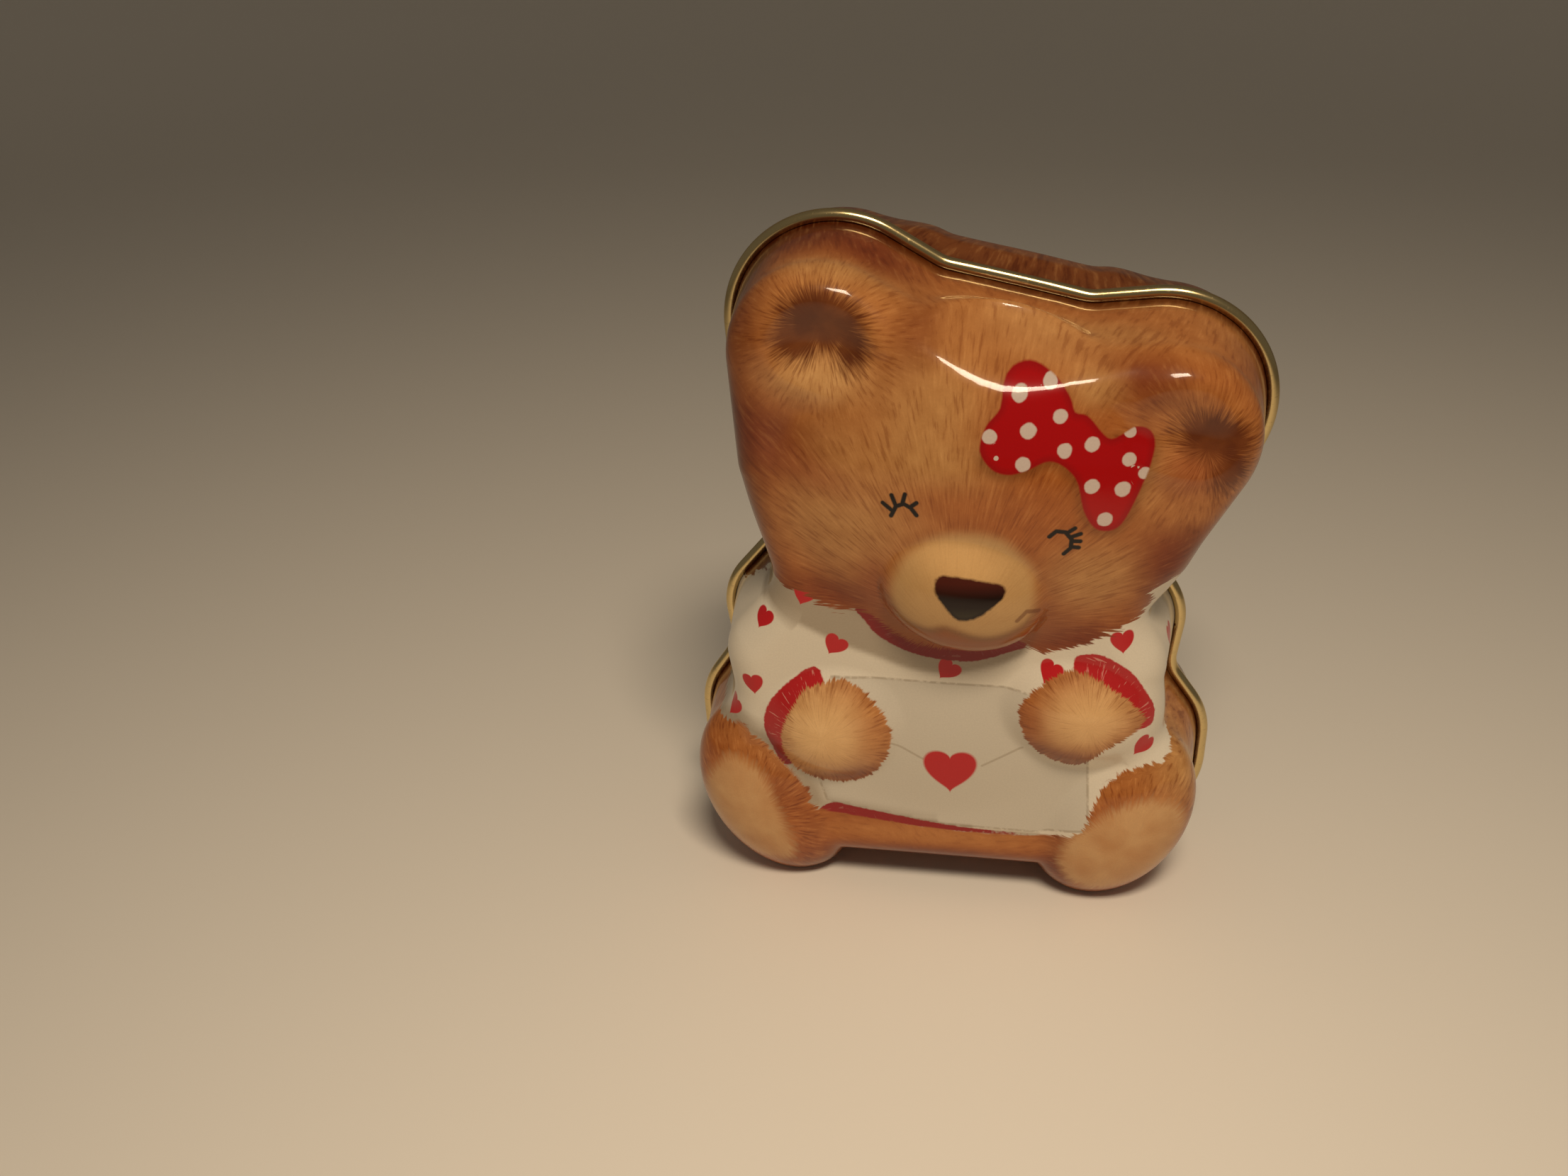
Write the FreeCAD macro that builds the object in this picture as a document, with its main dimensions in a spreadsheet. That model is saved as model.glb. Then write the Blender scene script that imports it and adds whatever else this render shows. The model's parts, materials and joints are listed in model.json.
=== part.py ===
import FreeCAD
import Part
import math
import os
import Sketcher

# A tinplate money box shaped as a sitting teddy bear. Two drawn halves meet at a seam plane:
# the front shell ends in a curled rim, and the back shell has a neck that slips inside it.
# It is designed with x = 0 on the middle of the body, y = 0 on the seam plane with the bear
# facing -Y, and z = 0 on the table. At the end both halves are placed so that the origin is
# the middle of the whole box, on the table. Lengths are millimetres and angles are degrees.

SIZES = {
    # sheet, rim and joint between the halves
    "sheet_gauge": 0.3,
    "curl_diameter": 2.2,
    "wall_inset": 0.95,
    "front_depth": 22.0,
    "front_edge_radius": 7.0,
    "back_depth": 14.0,
    "back_edge_radius": 6.5,
    "back_start": 1.3,
    "neck_length": 5.0,
    "neck_clearance": 0.1,
    # head: u and v are across and up in the tilted head's own frame
    "head_x": 7.5,
    "head_z": 96.0,
    "head_tilt": 13.0,
    "crown_u": 12.0,
    "crown_v": 13.6,
    "crown_radius": 7.0,
    "ear_u": 53.2,
    "ear_v": 27.0,
    "ear_radius": 18.0,
    "cheek_u": 39.4,
    "cheek_v": -23.0,
    "cheek_radius": 12.0,
    # body: the right-hand corners, repeated as a mirror image on the left
    "shoulder_x": 40.9,
    "shoulder_z": 51.0,
    "shoulder_radius": 12.0,
    "waist_x": 39.3,
    "waist_z": 39.0,
    "waist_radius": 6.0,
    "hip_x": 46.3,
    "hip_z": 29.0,
    "hip_radius": 14.0,
    "base_x": 45.9,
    "base_z": 2.7,
    "base_radius": 17.0,
    # where the cheeks meet the shoulders
    "neck_left_x": -31.0,
    "neck_left_z": 62.5,
    "neck_right_x": 35.4,
    "neck_right_z": 60.6,
    "neck_radius": 4.0,
    # coin slot in the rear face
    "slot_length": 36.0,
    "slot_width": 5.0,
    "slot_x": 7.5,
    "slot_z": 90.0,
    "slot_lip_start": 18.5,
}

# Swellings of the two shells: centre x, y, z, then half sizes along x, y, z, then the lean
# about the y axis, which turns the top of the swelling towards +x when it is positive.
FRONT_SWELLINGS = {
    "face": (4.5, -14.0, 79.0, 37.0, 14.0, 30.0, 12.0),
    "muzzle": (4.3, -24.0, 65.5, 13.0, 8.0, 10.0, 12.0),
    "chest": (0.0, -13.0, 34.0, 32.0, 10.0, 24.0, 0.0),
    "left_paw": (-18.0, -20.0, 36.0, 11.5, 7.5, 10.0, -20.0),
    "right_paw": (22.0, -20.0, 41.0, 11.5, 7.5, 9.0, 15.0),
    "left_foot": (-30.2, -15.5, 17.7, 13.4, 9.5, 19.0, -24.0),
    "right_foot": (30.2, -15.5, 17.7, 13.4, 9.5, 19.0, 24.0),
}
BACK_SWELLINGS = {
    "head_back": (7.5, 10.0, 90.0, 35.0, 12.0, 21.0, 13.0),
    "body_back": (0.0, 9.0, 32.0, 34.0, 11.0, 26.0, 0.0),
    "left_heel": (-25.0, 9.5, 9.5, 12.0, 7.0, 10.0, 0.0),
    "right_heel": (25.0, 9.5, 9.5, 12.0, 7.0, 10.0, 0.0),
}
EAR_HOLLOWS = {
    "left_ear": (-18.0, -24.0, 106.0, 10.0, 5.0, 7.5, 13.0),
    "right_ear": (38.0, -24.0, 93.0, 10.0, 5.0, 7.5, 13.0),
}
PAST = 4.0
TABLE_SIZE = 200.0


def fill_sheet(doc):
    """Write the driving sizes into the document's spreadsheet, one named cell per row."""
    sheet = doc.addObject("Spreadsheet::Sheet", "Sizes")
    for row, (name, value) in enumerate(SIZES.items(), start=1):
        sheet.set(f"A{row}", name)
        sheet.set(f"B{row}", str(value))
        sheet.setAlias(f"B{row}", name)
    doc.recompute()
    return sheet


def head_corner(side, name):
    """The x and z formulas and the rounding of a corner given in the tilted head's frame."""
    across = f"{side} * Sizes.{name}_u"
    turn = "Sizes.head_tilt * 1 deg"
    x = f"Sizes.head_x + {across} * cos({turn}) + Sizes.{name}_v * sin({turn})"
    z = f"Sizes.head_z - {across} * sin({turn}) + Sizes.{name}_v * cos({turn})"
    return x, z, f"Sizes.{name}_radius"


def body_corner(side, name):
    """The formulas of a corner of the symmetric body."""
    return f"{side} * Sizes.{name}_x", f"Sizes.{name}_z", f"Sizes.{name}_radius"


def outline_corners():
    """All corners of the seam outline in order, from the right foot up and round."""
    corners = [body_corner(1, name) for name in ("base", "hip", "waist", "shoulder")]
    corners.append(("Sizes.neck_right_x", "Sizes.neck_right_z", "Sizes.neck_radius"))
    corners += [head_corner(1, name) for name in ("cheek", "ear", "crown")]
    corners += [head_corner(-1, name) for name in ("crown", "ear", "cheek")]
    corners.append(("Sizes.neck_left_x", "Sizes.neck_left_z", "Sizes.neck_radius"))
    corners += [body_corner(-1, name) for name in ("shoulder", "waist", "hip", "base")]
    return corners


def rounded_corner(before, corner, after, radius):
    """Centre, first and last point of the arc that rounds a corner."""
    towards_before = (before - corner).normalize()
    towards_after = (after - corner).normalize()
    half_angle = towards_before.getAngle(towards_after) / 2
    reach = radius / math.tan(half_angle)
    middle = (towards_before + towards_after).normalize()
    centre = corner + middle * (radius / math.sin(half_angle))
    return centre, corner + towards_before * reach, corner + towards_after * reach


def arc_between(centre, first, last, radius):
    """The short arc from first to last, and whether it runs clockwise."""
    start = math.atan2(first.y - centre.y, first.x - centre.x)
    end = math.atan2(last.y - centre.y, last.x - centre.x)
    clockwise = math.sin(end - start) < 0
    if clockwise:
        start, end = end, start
    circle = Part.Circle(centre, FreeCAD.Vector(0, 0, 1), radius)
    return Part.ArcOfCircle(circle, start, end), clockwise


def seam_outline(doc):
    """The closed outline that the rim's centre follows, as a fully constrained sketch."""
    sketch = doc.addObject("Sketcher::SketchObject", "seam_outline")
    sketch.Placement = FreeCAD.Placement(
        FreeCAD.Vector(), FreeCAD.Rotation(FreeCAD.Vector(1, 0, 0), 90)
    )
    formulas = outline_corners()
    points = [
        FreeCAD.Vector(number(sketch, x), number(sketch, z), 0) for x, z, _ in formulas
    ]
    radii = [number(sketch, radius) for _, _, radius in formulas]
    count = len(points)
    arcs = []
    for index, point in enumerate(points):
        centre, first, last = rounded_corner(
            points[index - 1], point, points[(index + 1) % count], radii[index]
        )
        arcs.append((centre, first, last))
    lines = []
    for index in range(count):
        line = Part.LineSegment(arcs[index - 1][2], arcs[index][1])
        lines.append(sketch.addGeometry(line, False))
    for index, (x, z, radius) in enumerate(formulas):
        centre, first, last = arcs[index]
        arc, clockwise = arc_between(centre, first, last, radii[index])
        curve = sketch.addGeometry(arc, False)
        entry, leave = (2, 1) if clockwise else (1, 2)
        sketch.addConstraint(Sketcher.Constraint("Tangent", lines[index], 2, curve, entry))
        following = lines[(index + 1) % count]
        sketch.addConstraint(Sketcher.Constraint("Tangent", curve, leave, following, 1))
        bind(sketch, Sketcher.Constraint("Radius", curve, radii[index]), radius)
        corner = sketch.addGeometry(Part.Point(points[index]), True)
        sketch.addConstraint(Sketcher.Constraint("PointOnObject", corner, 1, lines[index]))
        sketch.addConstraint(Sketcher.Constraint("PointOnObject", corner, 1, following))
        place(sketch, "DistanceX", corner, points[index].x, x)
        place(sketch, "DistanceY", corner, points[index].y, z)
    return sketch


def number(host, formula):
    """The value of a formula of the spreadsheet, as a plain number."""
    value = host.evalExpression(formula)
    return float(getattr(value, "Value", value))


def bind(sketch, constraint, formula):
    """Add a constraint and drive its size from the spreadsheet."""
    index = sketch.addConstraint(constraint)
    sketch.setExpression(f"Constraints[{index}]", f"({formula}) * 1 mm")


def place(sketch, kind, point, value, formula):
    """Hold a point at a distance from the origin, on whichever side it lies."""
    if value < 0:
        constraint = Sketcher.Constraint(kind, point, 1, -1, 1, -value)
        bind(sketch, constraint, f"-({formula})")
    else:
        bind(sketch, Sketcher.Constraint(kind, -1, 1, point, 1, value), formula)


def drawn_block(doc, outline, name, inset, start, end, radius=None):
    """A block on the outline, moved in by inset, from start to end along y.

    With a radius, the edge round its far face is rounded."""
    ring = doc.addObject("Part::Offset2D", name + "_outline")
    ring.Source = outline
    ring.Fill = False
    ring.setExpression("Value", f"-({inset}) * 1 mm")
    block = doc.addObject("Part::Extrusion", name + "_block")
    block.Base = ring
    block.DirMode = "Custom"
    block.Dir = FreeCAD.Vector(0, 1, 0)
    block.Solid = True
    block.setExpression("LengthFwd", f"({end}) * 1 mm")
    block.setExpression("LengthRev", f"-({start}) * 1 mm")
    doc.recompute()
    if radius is None:
        return block
    far = number(block, start if number(block, start) < -number(block, end) else end)
    rounded = doc.addObject("Part::Fillet", name + "_rounded")
    rounded.Base = block
    size = number(block, radius)
    rounded.Edges = [
        (index, size, size)
        for index, edge in enumerate(block.Shape.Edges, start=1)
        if all(abs(vertex.Y - far) < 0.001 for vertex in edge.Vertexes)
    ]
    doc.recompute()
    return rounded


def swelling(doc, name, numbers, growth=0.0):
    """An ellipsoid with its half sizes made larger by growth times the sheet gauge."""
    x, y, z, half_x, half_y, half_z, lean = numbers
    form = doc.addObject("Part::Ellipsoid", name)
    form.Angle1 = -90
    form.Angle2 = 90
    form.Angle3 = 360
    for part, half in (("Radius1", half_z), ("Radius2", half_x), ("Radius3", half_y)):
        form.setExpression(part, f"({half} + {growth} * Sizes.sheet_gauge) * 1 mm")
    form.Placement = FreeCAD.Placement(
        FreeCAD.Vector(x, y, z), FreeCAD.Rotation(FreeCAD.Vector(0, 1, 0), lean)
    )
    return form


def join(doc, name, shapes):
    """One solid made of all the given shapes."""
    union = doc.addObject("Part::MultiFuse", name)
    union.Shapes = shapes
    return union


def cut(doc, name, base, tool):
    """The base with the tool's space removed."""
    rest = doc.addObject("Part::Cut", name)
    rest.Base = base
    rest.Tool = tool
    return rest


def table(doc, name):
    """The space below the table top, which flattens whatever stands on it."""
    block = doc.addObject("Part::Box", name)
    block.Length = TABLE_SIZE
    block.Width = TABLE_SIZE
    block.Height = PAST
    block.Placement.Base = FreeCAD.Vector(-TABLE_SIZE / 2, -TABLE_SIZE / 2, -PAST)
    return block


def raised_table(doc, name):
    """The same space one sheet gauge higher, which flattens the inside to match."""
    block = table(doc, name)
    block.setExpression("Height", f"({PAST} + Sizes.sheet_gauge) * 1 mm")
    return block


def front_form(doc, outline, name, inset, start, end, radius, growth, floor):
    """The solid form of the front, outside or inside, with its swellings and hollows."""
    shapes = [drawn_block(doc, outline, name, inset, start, end, radius)]
    for part, numbers in FRONT_SWELLINGS.items():
        shapes.append(swelling(doc, f"{name}_{part}", numbers, growth))
    whole = join(doc, name + "_whole", shapes)
    hollows = [
        swelling(doc, f"{name}_{part}", numbers, -growth)
        for part, numbers in EAR_HOLLOWS.items()
    ]
    hollows.append(floor(doc, name + "_table"))
    return cut(doc, name, whole, join(doc, name + "_hollows", hollows))


def front_shell(doc, outline):
    """The front pressing: a thin shell with the bear's relief and a curled rim."""
    outside = front_form(
        doc, outline, "front_outside", "Sizes.wall_inset", "-Sizes.front_depth", "0",
        "Sizes.front_edge_radius", 0.0, table,
    )
    inside = front_form(
        doc, outline, "front_inside", "Sizes.wall_inset + Sizes.sheet_gauge",
        "-(Sizes.front_depth - Sizes.sheet_gauge)", f"{PAST}",
        "Sizes.front_edge_radius - Sizes.sheet_gauge", -1.0, raised_table,
    )
    wall = cut(doc, "front_wall", outside, inside)
    return join(doc, "front_shell", [wall, rim_curl(doc, outline)])


def rim_curl(doc, outline):
    """The round bead along the open edge of the front."""
    section = doc.addObject("Part::Circle", "rim_section")
    section.setExpression("Radius", "Sizes.curl_diameter / 2 * 1 mm")
    first = outline.Shape.Wires[0].OrderedEdges[0]
    start = first.valueAt(first.FirstParameter)
    along = first.tangentAt(first.FirstParameter)
    turn = FreeCAD.Rotation(FreeCAD.Vector(0, 0, 1), along)
    section.Placement = FreeCAD.Placement(start, turn)
    curl = doc.addObject("Part::Sweep", "rim_curl")
    curl.Sections = [section]
    count = len(outline.Shape.Edges)
    curl.Spine = (outline, [f"Edge{index}" for index in range(1, count + 1)])
    curl.Solid = True
    curl.Frenet = False
    return curl


def back_shell(doc, outline):
    """The back pressing: a shallower shell with a neck, heels and the coin slot."""
    gauge = "Sizes.sheet_gauge"
    neck_inset = f"Sizes.wall_inset + {gauge} + Sizes.neck_clearance"
    outer = [
        drawn_block(
            doc, outline, "back_outside", "Sizes.wall_inset", "Sizes.back_start",
            "Sizes.back_depth", "Sizes.back_edge_radius",
        ),
        drawn_block(
            doc, outline, "neck_outside", neck_inset, "-Sizes.neck_length",
            f"Sizes.back_start + {gauge}",
        ),
    ]
    inner = [
        drawn_block(
            doc, outline, "back_inside", f"Sizes.wall_inset + {gauge}",
            f"Sizes.back_start + {gauge}", f"Sizes.back_depth - {gauge}",
            f"Sizes.back_edge_radius - {gauge}",
        ),
        drawn_block(
            doc, outline, "neck_inside", f"{neck_inset} + {gauge}",
            f"-(Sizes.neck_length + {PAST})", f"Sizes.back_start + 2 * {gauge}",
        ),
    ]
    for part, numbers in BACK_SWELLINGS.items():
        outer.append(swelling(doc, "outside_" + part, numbers))
        inner.append(swelling(doc, "inside_" + part, numbers, -1.0))
    outside = cut(doc, "back_outside_form", join(doc, "back_outer", outer), table(doc, "back_table"))
    inside = cut(
        doc, "back_inside_form", join(doc, "back_inner", inner), raised_table(doc, "back_floor")
    )
    wall = cut(doc, "back_wall", outside, inside)
    lip_space = slot_form(doc, "slot_lip", "Sizes.slot_lip_start", "Sizes.sheet_gauge")
    lip = doc.addObject("Part::MultiCommon", "slot_lip")
    lip.Shapes = [lip_space, outside]
    whole = join(doc, "back_whole", [wall, lip])
    return cut(doc, "back_shell", whole, slot_form(doc, "slot", "Sizes.back_start", "0"))


def slot_form(doc, name, start, growth):
    """A block with round ends through the rear face, as long as the coin slot plus growth."""
    radius = f"(Sizes.slot_width / 2 + {growth})"
    half = "(Sizes.slot_length - Sizes.slot_width) / 2"
    length = f"({TABLE_SIZE / 4} - {start}) * 1 mm"
    bar = doc.addObject("Part::Box", name + "_bar")
    bar.setExpression("Length", f"2 * {half} * 1 mm")
    bar.setExpression("Width", length)
    bar.setExpression("Height", f"2 * {radius} * 1 mm")
    bar.setExpression("Placement.Base.x", f"(Sizes.slot_x - {half}) * 1 mm")
    bar.setExpression("Placement.Base.y", f"({start}) * 1 mm")
    bar.setExpression("Placement.Base.z", f"(Sizes.slot_z - {radius}) * 1 mm")
    shapes = [bar]
    for side, end in ((-1, "left"), (1, "right")):
        round_end = doc.addObject("Part::Cylinder", f"{name}_{end}_end")
        round_end.setExpression("Radius", f"{radius} * 1 mm")
        round_end.setExpression("Height", length)
        round_end.Placement.Rotation = FreeCAD.Rotation(FreeCAD.Vector(1, 0, 0), -90)
        round_end.setExpression("Placement.Base.x", f"(Sizes.slot_x + {side} * {half}) * 1 mm")
        round_end.setExpression("Placement.Base.y", f"({start}) * 1 mm")
        round_end.setExpression("Placement.Base.z", "Sizes.slot_z * 1 mm")
        shapes.append(round_end)
    return join(doc, name + "_form", shapes)


def place_nodes(nodes):
    """Move both halves so that the middle of their common box, on the table, is the origin."""
    box = FreeCAD.BoundBox()
    for node in nodes:
        box.add(node.Shape.optimalBoundingBox(False))
    shift = FreeCAD.Vector(-box.Center.x, -box.Center.y, -box.ZMin)
    for node in nodes:
        node.Placement.Base = shift
    print("both halves moved by", shift)


def check(doc, nodes):
    """Stop if any object failed to compute or any node has no sound shape."""
    for item in doc.Objects:
        failed = [state for state in item.State if "Invalid" in state or "Error" in state]
        if failed:
            raise RuntimeError(f"{item.Name} failed: {failed}")
    for node in nodes:
        if node.Shape.isNull() or not node.Shape.isValid():
            raise RuntimeError(f"{node.Name} has no valid shape")
        if len(node.Shape.Solids) != 1:
            raise RuntimeError(f"{node.Name} has {len(node.Shape.Solids)} solids")


def main():
    """Build the document and write one STEP file per node."""
    doc = FreeCAD.newDocument("TinMoneyBox")
    fill_sheet(doc)
    outline = seam_outline(doc)
    doc.recompute()
    nodes = [front_shell(doc, outline), back_shell(doc, outline)]
    for node in nodes:
        node.Label = node.Name
    doc.recompute()
    check(doc, nodes)
    place_nodes(nodes)
    doc.recompute()
    check(doc, nodes)
    os.makedirs("parts", exist_ok=True)
    for node in nodes:
        node.Shape.exportStep(f"parts/{node.Label}.step")
        print(node.Label, f"{node.Shape.Volume:.0f} mm3", node.Shape.optimalBoundingBox(False))


main()
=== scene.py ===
import bpy
import json
import math
import numpy as np
from mathutils import Euler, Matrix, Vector
from mathutils.geometry import delaunay_2d_cdt


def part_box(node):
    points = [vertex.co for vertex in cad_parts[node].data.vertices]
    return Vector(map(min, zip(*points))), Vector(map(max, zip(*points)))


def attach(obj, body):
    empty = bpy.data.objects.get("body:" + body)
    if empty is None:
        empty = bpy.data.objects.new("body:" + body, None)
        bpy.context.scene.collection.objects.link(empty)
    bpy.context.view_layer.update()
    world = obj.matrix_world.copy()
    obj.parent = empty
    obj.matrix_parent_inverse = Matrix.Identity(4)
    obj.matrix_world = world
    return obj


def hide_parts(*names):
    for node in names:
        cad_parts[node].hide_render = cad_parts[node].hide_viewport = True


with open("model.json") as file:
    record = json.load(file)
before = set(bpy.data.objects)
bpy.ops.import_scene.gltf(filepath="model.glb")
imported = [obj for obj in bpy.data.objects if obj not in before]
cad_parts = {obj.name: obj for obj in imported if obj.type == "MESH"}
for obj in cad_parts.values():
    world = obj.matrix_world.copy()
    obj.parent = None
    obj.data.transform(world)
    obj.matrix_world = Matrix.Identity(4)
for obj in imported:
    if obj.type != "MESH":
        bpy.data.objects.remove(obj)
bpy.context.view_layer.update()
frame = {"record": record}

# Lengths below are millimetres in the tin's own frame: x from the middle of the body, y from
# the seam plane with the bear facing -y, and z up from the table.
MM = 0.001
GAUGE = 0.3
CURL_RADIUS = 1.1
WALL_INSET = 0.95


def frame_shift():
    """Where the tin's own origin lies in the row frame, in metres."""
    mounts = {mount["name"]: mount["pos_m"] for mount in frame["record"]["mounts"]}
    middle = (mounts["rest_left_foot"][0] + mounts["rest_right_foot"][0]) / 2
    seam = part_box("front_shell")[1].y - CURL_RADIUS * MM
    return Vector((middle, seam, 0.0))


SHIFT = frame_shift()


# ---- outline of the rim

HEAD_MIDDLE = (7.5, 96)
HEAD_TILT = math.radians(13.0)
HEAD_CORNERS = {"cheek": (39.4, -23, 12), "ear": (53.2, 27, 18), "crown": (12, 13.6, 7)}
BODY_CORNERS = {
    "base": (45.9, 2.7, 17),
    "hip": (46.3, 29, 14),
    "waist": (39.3, 39, 6),
    "shoulder": (40.9, 51, 12),
}
LEFT_NECK = (-31, 62.5, 4)
RIGHT_NECK = (35.4, 60.6, 4)


def head_corner(side, name):
    """A corner of the tilted head, as x, z and rounding radius."""
    across, up, radius = HEAD_CORNERS[name]
    across *= side
    x = HEAD_MIDDLE[0] + across * math.cos(HEAD_TILT) + up * math.sin(HEAD_TILT)
    z = HEAD_MIDDLE[1] - across * math.sin(HEAD_TILT) + up * math.cos(HEAD_TILT)
    return x, z, radius


def body_corner(side, name):
    """A corner of the symmetric body."""
    x, z, radius = BODY_CORNERS[name]
    return side * x, z, radius


def outline_corners():
    """All corners in order, from the right foot up and round the head."""
    corners = [body_corner(1, name) for name in ("base", "hip", "waist", "shoulder")]
    corners.append(RIGHT_NECK)
    corners += [head_corner(1, name) for name in ("cheek", "ear", "crown")]
    corners += [head_corner(-1, name) for name in ("crown", "ear", "cheek")]
    corners.append(LEFT_NECK)
    corners += [body_corner(-1, name) for name in ("shoulder", "waist", "hip", "base")]
    return corners


def rounded_outline(step):
    """Points about step apart on the rounded outline, and their outward normals."""
    corners = outline_corners()
    count = len(corners)
    arcs = []
    for index, (x, z, radius) in enumerate(corners):
        corner = np.array([x, z])
        back = np.array(corners[index - 1][:2]) - corner
        ahead = np.array(corners[(index + 1) % count][:2]) - corner
        back /= np.linalg.norm(back)
        ahead /= np.linalg.norm(ahead)
        half = math.acos(np.clip(back @ ahead, -1, 1)) / 2
        middle = (back + ahead) / np.linalg.norm(back + ahead)
        centre = corner + middle * radius / math.sin(half)
        reach = radius / math.tan(half)
        arcs.append((centre, corner + back * reach, corner + ahead * reach, radius))
    points, normals = [], []
    for index, (centre, first, last, radius) in enumerate(arcs):
        start = math.atan2(*(first - centre)[::-1])
        turn = (math.atan2(*(last - centre)[::-1]) - start + math.pi) % (2 * math.pi) - math.pi
        outwards = 1 if turn > 0 else -1
        pieces = max(2, round(abs(turn) * radius / step))
        for piece in range(pieces):
            angle = start + turn * piece / pieces
            ray = np.array([math.cos(angle), math.sin(angle)])
            points.append(centre + radius * ray)
            normals.append(ray * outwards)
        following = arcs[(index + 1) % count][1]
        run = following - last
        length = np.linalg.norm(run)
        normal = np.array([run[1], -run[0]]) / length
        pieces = max(1, round(length / step))
        for piece in range(pieces):
            points.append(last + run * piece / pieces)
            normals.append(normal)
    return np.array(points), np.array(normals)


# ---- relief of the two halves

# Swellings: centre x, y, z, half sizes along x, y, z, lean in degrees about y, softness. The
# front's are face, muzzle, chest, paws and feet; the back's are two domes and the heels.
FRONT_SWELLINGS = [
    (4.5, -14, 79, 37, 13.5, 30, 12, 1.6),
    (4.3, -23.6, 65.3, 13.4, 7.4, 10.4, 12, 3.5),
    (0, -13, 34, 32, 10, 24, 0, 1.6),
    (-18, -15, 36, 15, 11.5, 13.4, -20, 2.2),
    (23.2, -15, 41, 15, 11.5, 12.2, 15, 2.2),
    *((side * 30.2, -15.5, 17.7, 13.4, 9.5, 18.8, side * 24, 1) for side in (-1, 1)),
]
# The dish of each ear: middle x, z, half sizes, lean, depth.
EAR_DISHES = [
    (-18, 106, 10, 8, 13, 2.6),
    (38, 93, 10, 8, 13, 2.6),
]
# The raised disc round each dish, in the same terms with its height last.
EAR_DISCS = [
    (-16.5, 107.5, 15.5, 12.5, 13, 1.2),
    (40.5, 94.5, 12.5, 11.5, 13, 1),
]
BACK_SWELLINGS = [
    (7.5, 10, 88, 34, 12, 19, 13, 1.6),
    (0, 9, 32, 34, 11, 26, 0, 1.6),
    *((side * 25, 9.5, 9.5, 12, 7, 9.8, 0, 1) for side in (-1, 1)),
]
# A disc's height falls away between these shares of its half sizes.
DISC_FADE = (0.45, 1.12)
# The forehead's slope between the ears, which runs back from the face to a ledge.
FOREHEAD_START = 6.3
FOREHEAD_SLOPE = 3
FOREHEAD_BEND = 0.055
FOREHEAD_SOFT = 8
LEDGE = 6
LEDGE_SOFT = 7
# The rise that fills out the back's notch, and the stretches in which it fades.
NOTCH_RISE = 3.2
NOTCH_SIDES = (13, 25)
NOTCH_HEIGHTS = (-6, 10)
NOTCH_FADE = 6


def soft_max(a, b, softness):
    """The larger of a and b, with the crease between them rounded."""
    gap = np.clip(softness - np.abs(a - b), 0, None) / softness
    return np.maximum(a, b) + gap * gap * softness / 4


def swelling_reach(points, ways, swelling):
    """How far each point lies inside an ellipsoid along its way out, negative if outside."""
    x, y, z, half_x, half_y, half_z, lean, _ = swelling
    turn = math.radians(lean)
    across = np.array([math.cos(turn), 0, -math.sin(turn)]) / half_x
    along = np.array([0, 1, 0]) / half_y
    up = np.array([math.sin(turn), 0, math.cos(turn)]) / half_z
    squeeze = np.stack([across, along, up])
    start = (points - np.array([x, y, z])) @ squeeze.T
    way = ways @ squeeze.T
    a = np.sum(way * way, 1)
    b = np.sum(start * way, 1)
    c = np.sum(start * start, 1) - 1
    inside = b * b - a * c
    reach = (-b + np.sqrt(np.clip(inside, 0, None))) / a
    return np.where(inside > 0, reach, -1.0 - np.sqrt(np.clip(-inside, 0, None)) / a)


def swollen(points, ways, swellings):
    """The points moved out to the surface of the swellings."""
    lift = np.zeros(len(points))
    for swelling in swellings:
        reach = swelling_reach(points, ways, swelling)
        lift = soft_max(lift, reach, swelling[7])
    return points + ways * lift[:, None]


def smooth_step(value, first, last):
    """0 before first and 1 after last, with an even rise between them."""
    part = np.clip((value - first) / (last - first), 0, 1)
    return part * part * (3 - 2 * part)


def turned(points, x, z, turn):
    """How far across and up the points are from x, z, in a frame that leans by turn."""
    dx, dz = points[:, 0] - x, points[:, 1] - z
    return dx * np.cos(turn) - dz * np.sin(turn), dx * np.sin(turn) + dz * np.cos(turn)


def in_ellipse(points, x, z, half_x, half_z, lean):
    """The points in an ellipse's own frame, where its edge is at 1."""
    across, up = turned(points, x, z, math.radians(lean))
    return across / half_x, up / half_z


def forehead_limit(plan):
    """How far forward the forehead's slope lets the sheet come."""
    across, up = turned(plan, *HEAD_MIDDLE, HEAD_TILT)
    slope = FRONT_DEPTH + FOREHEAD_SLOPE * (FOREHEAD_START - up) + FOREHEAD_BEND * across**2
    return soft_max(slope, LEDGE, LEDGE_SOFT)


def front_relief(points, ways, plan):
    """The front's relief: swellings, the forehead's slope, then the ears' discs and dishes."""
    moved = swollen(points, ways, FRONT_SWELLINGS)
    moved[:, 1] = soft_max(moved[:, 1], -forehead_limit(plan), FOREHEAD_SOFT)
    facing = np.clip(-ways[:, 1], 0, 1)
    depth = np.zeros(len(points))
    for *dish, deep in EAR_DISHES:
        across, up = in_ellipse(plan, *dish)
        depth += deep * np.clip(1 - across**2 - up**2, 0, None) ** 1.5
    for *disc, high in EAR_DISCS:
        across, up = in_ellipse(plan, *disc)
        depth -= high * (1 - smooth_step(np.hypot(across, up), *DISC_FADE))
    return moved - ways * (depth * facing)[:, None]


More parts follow.
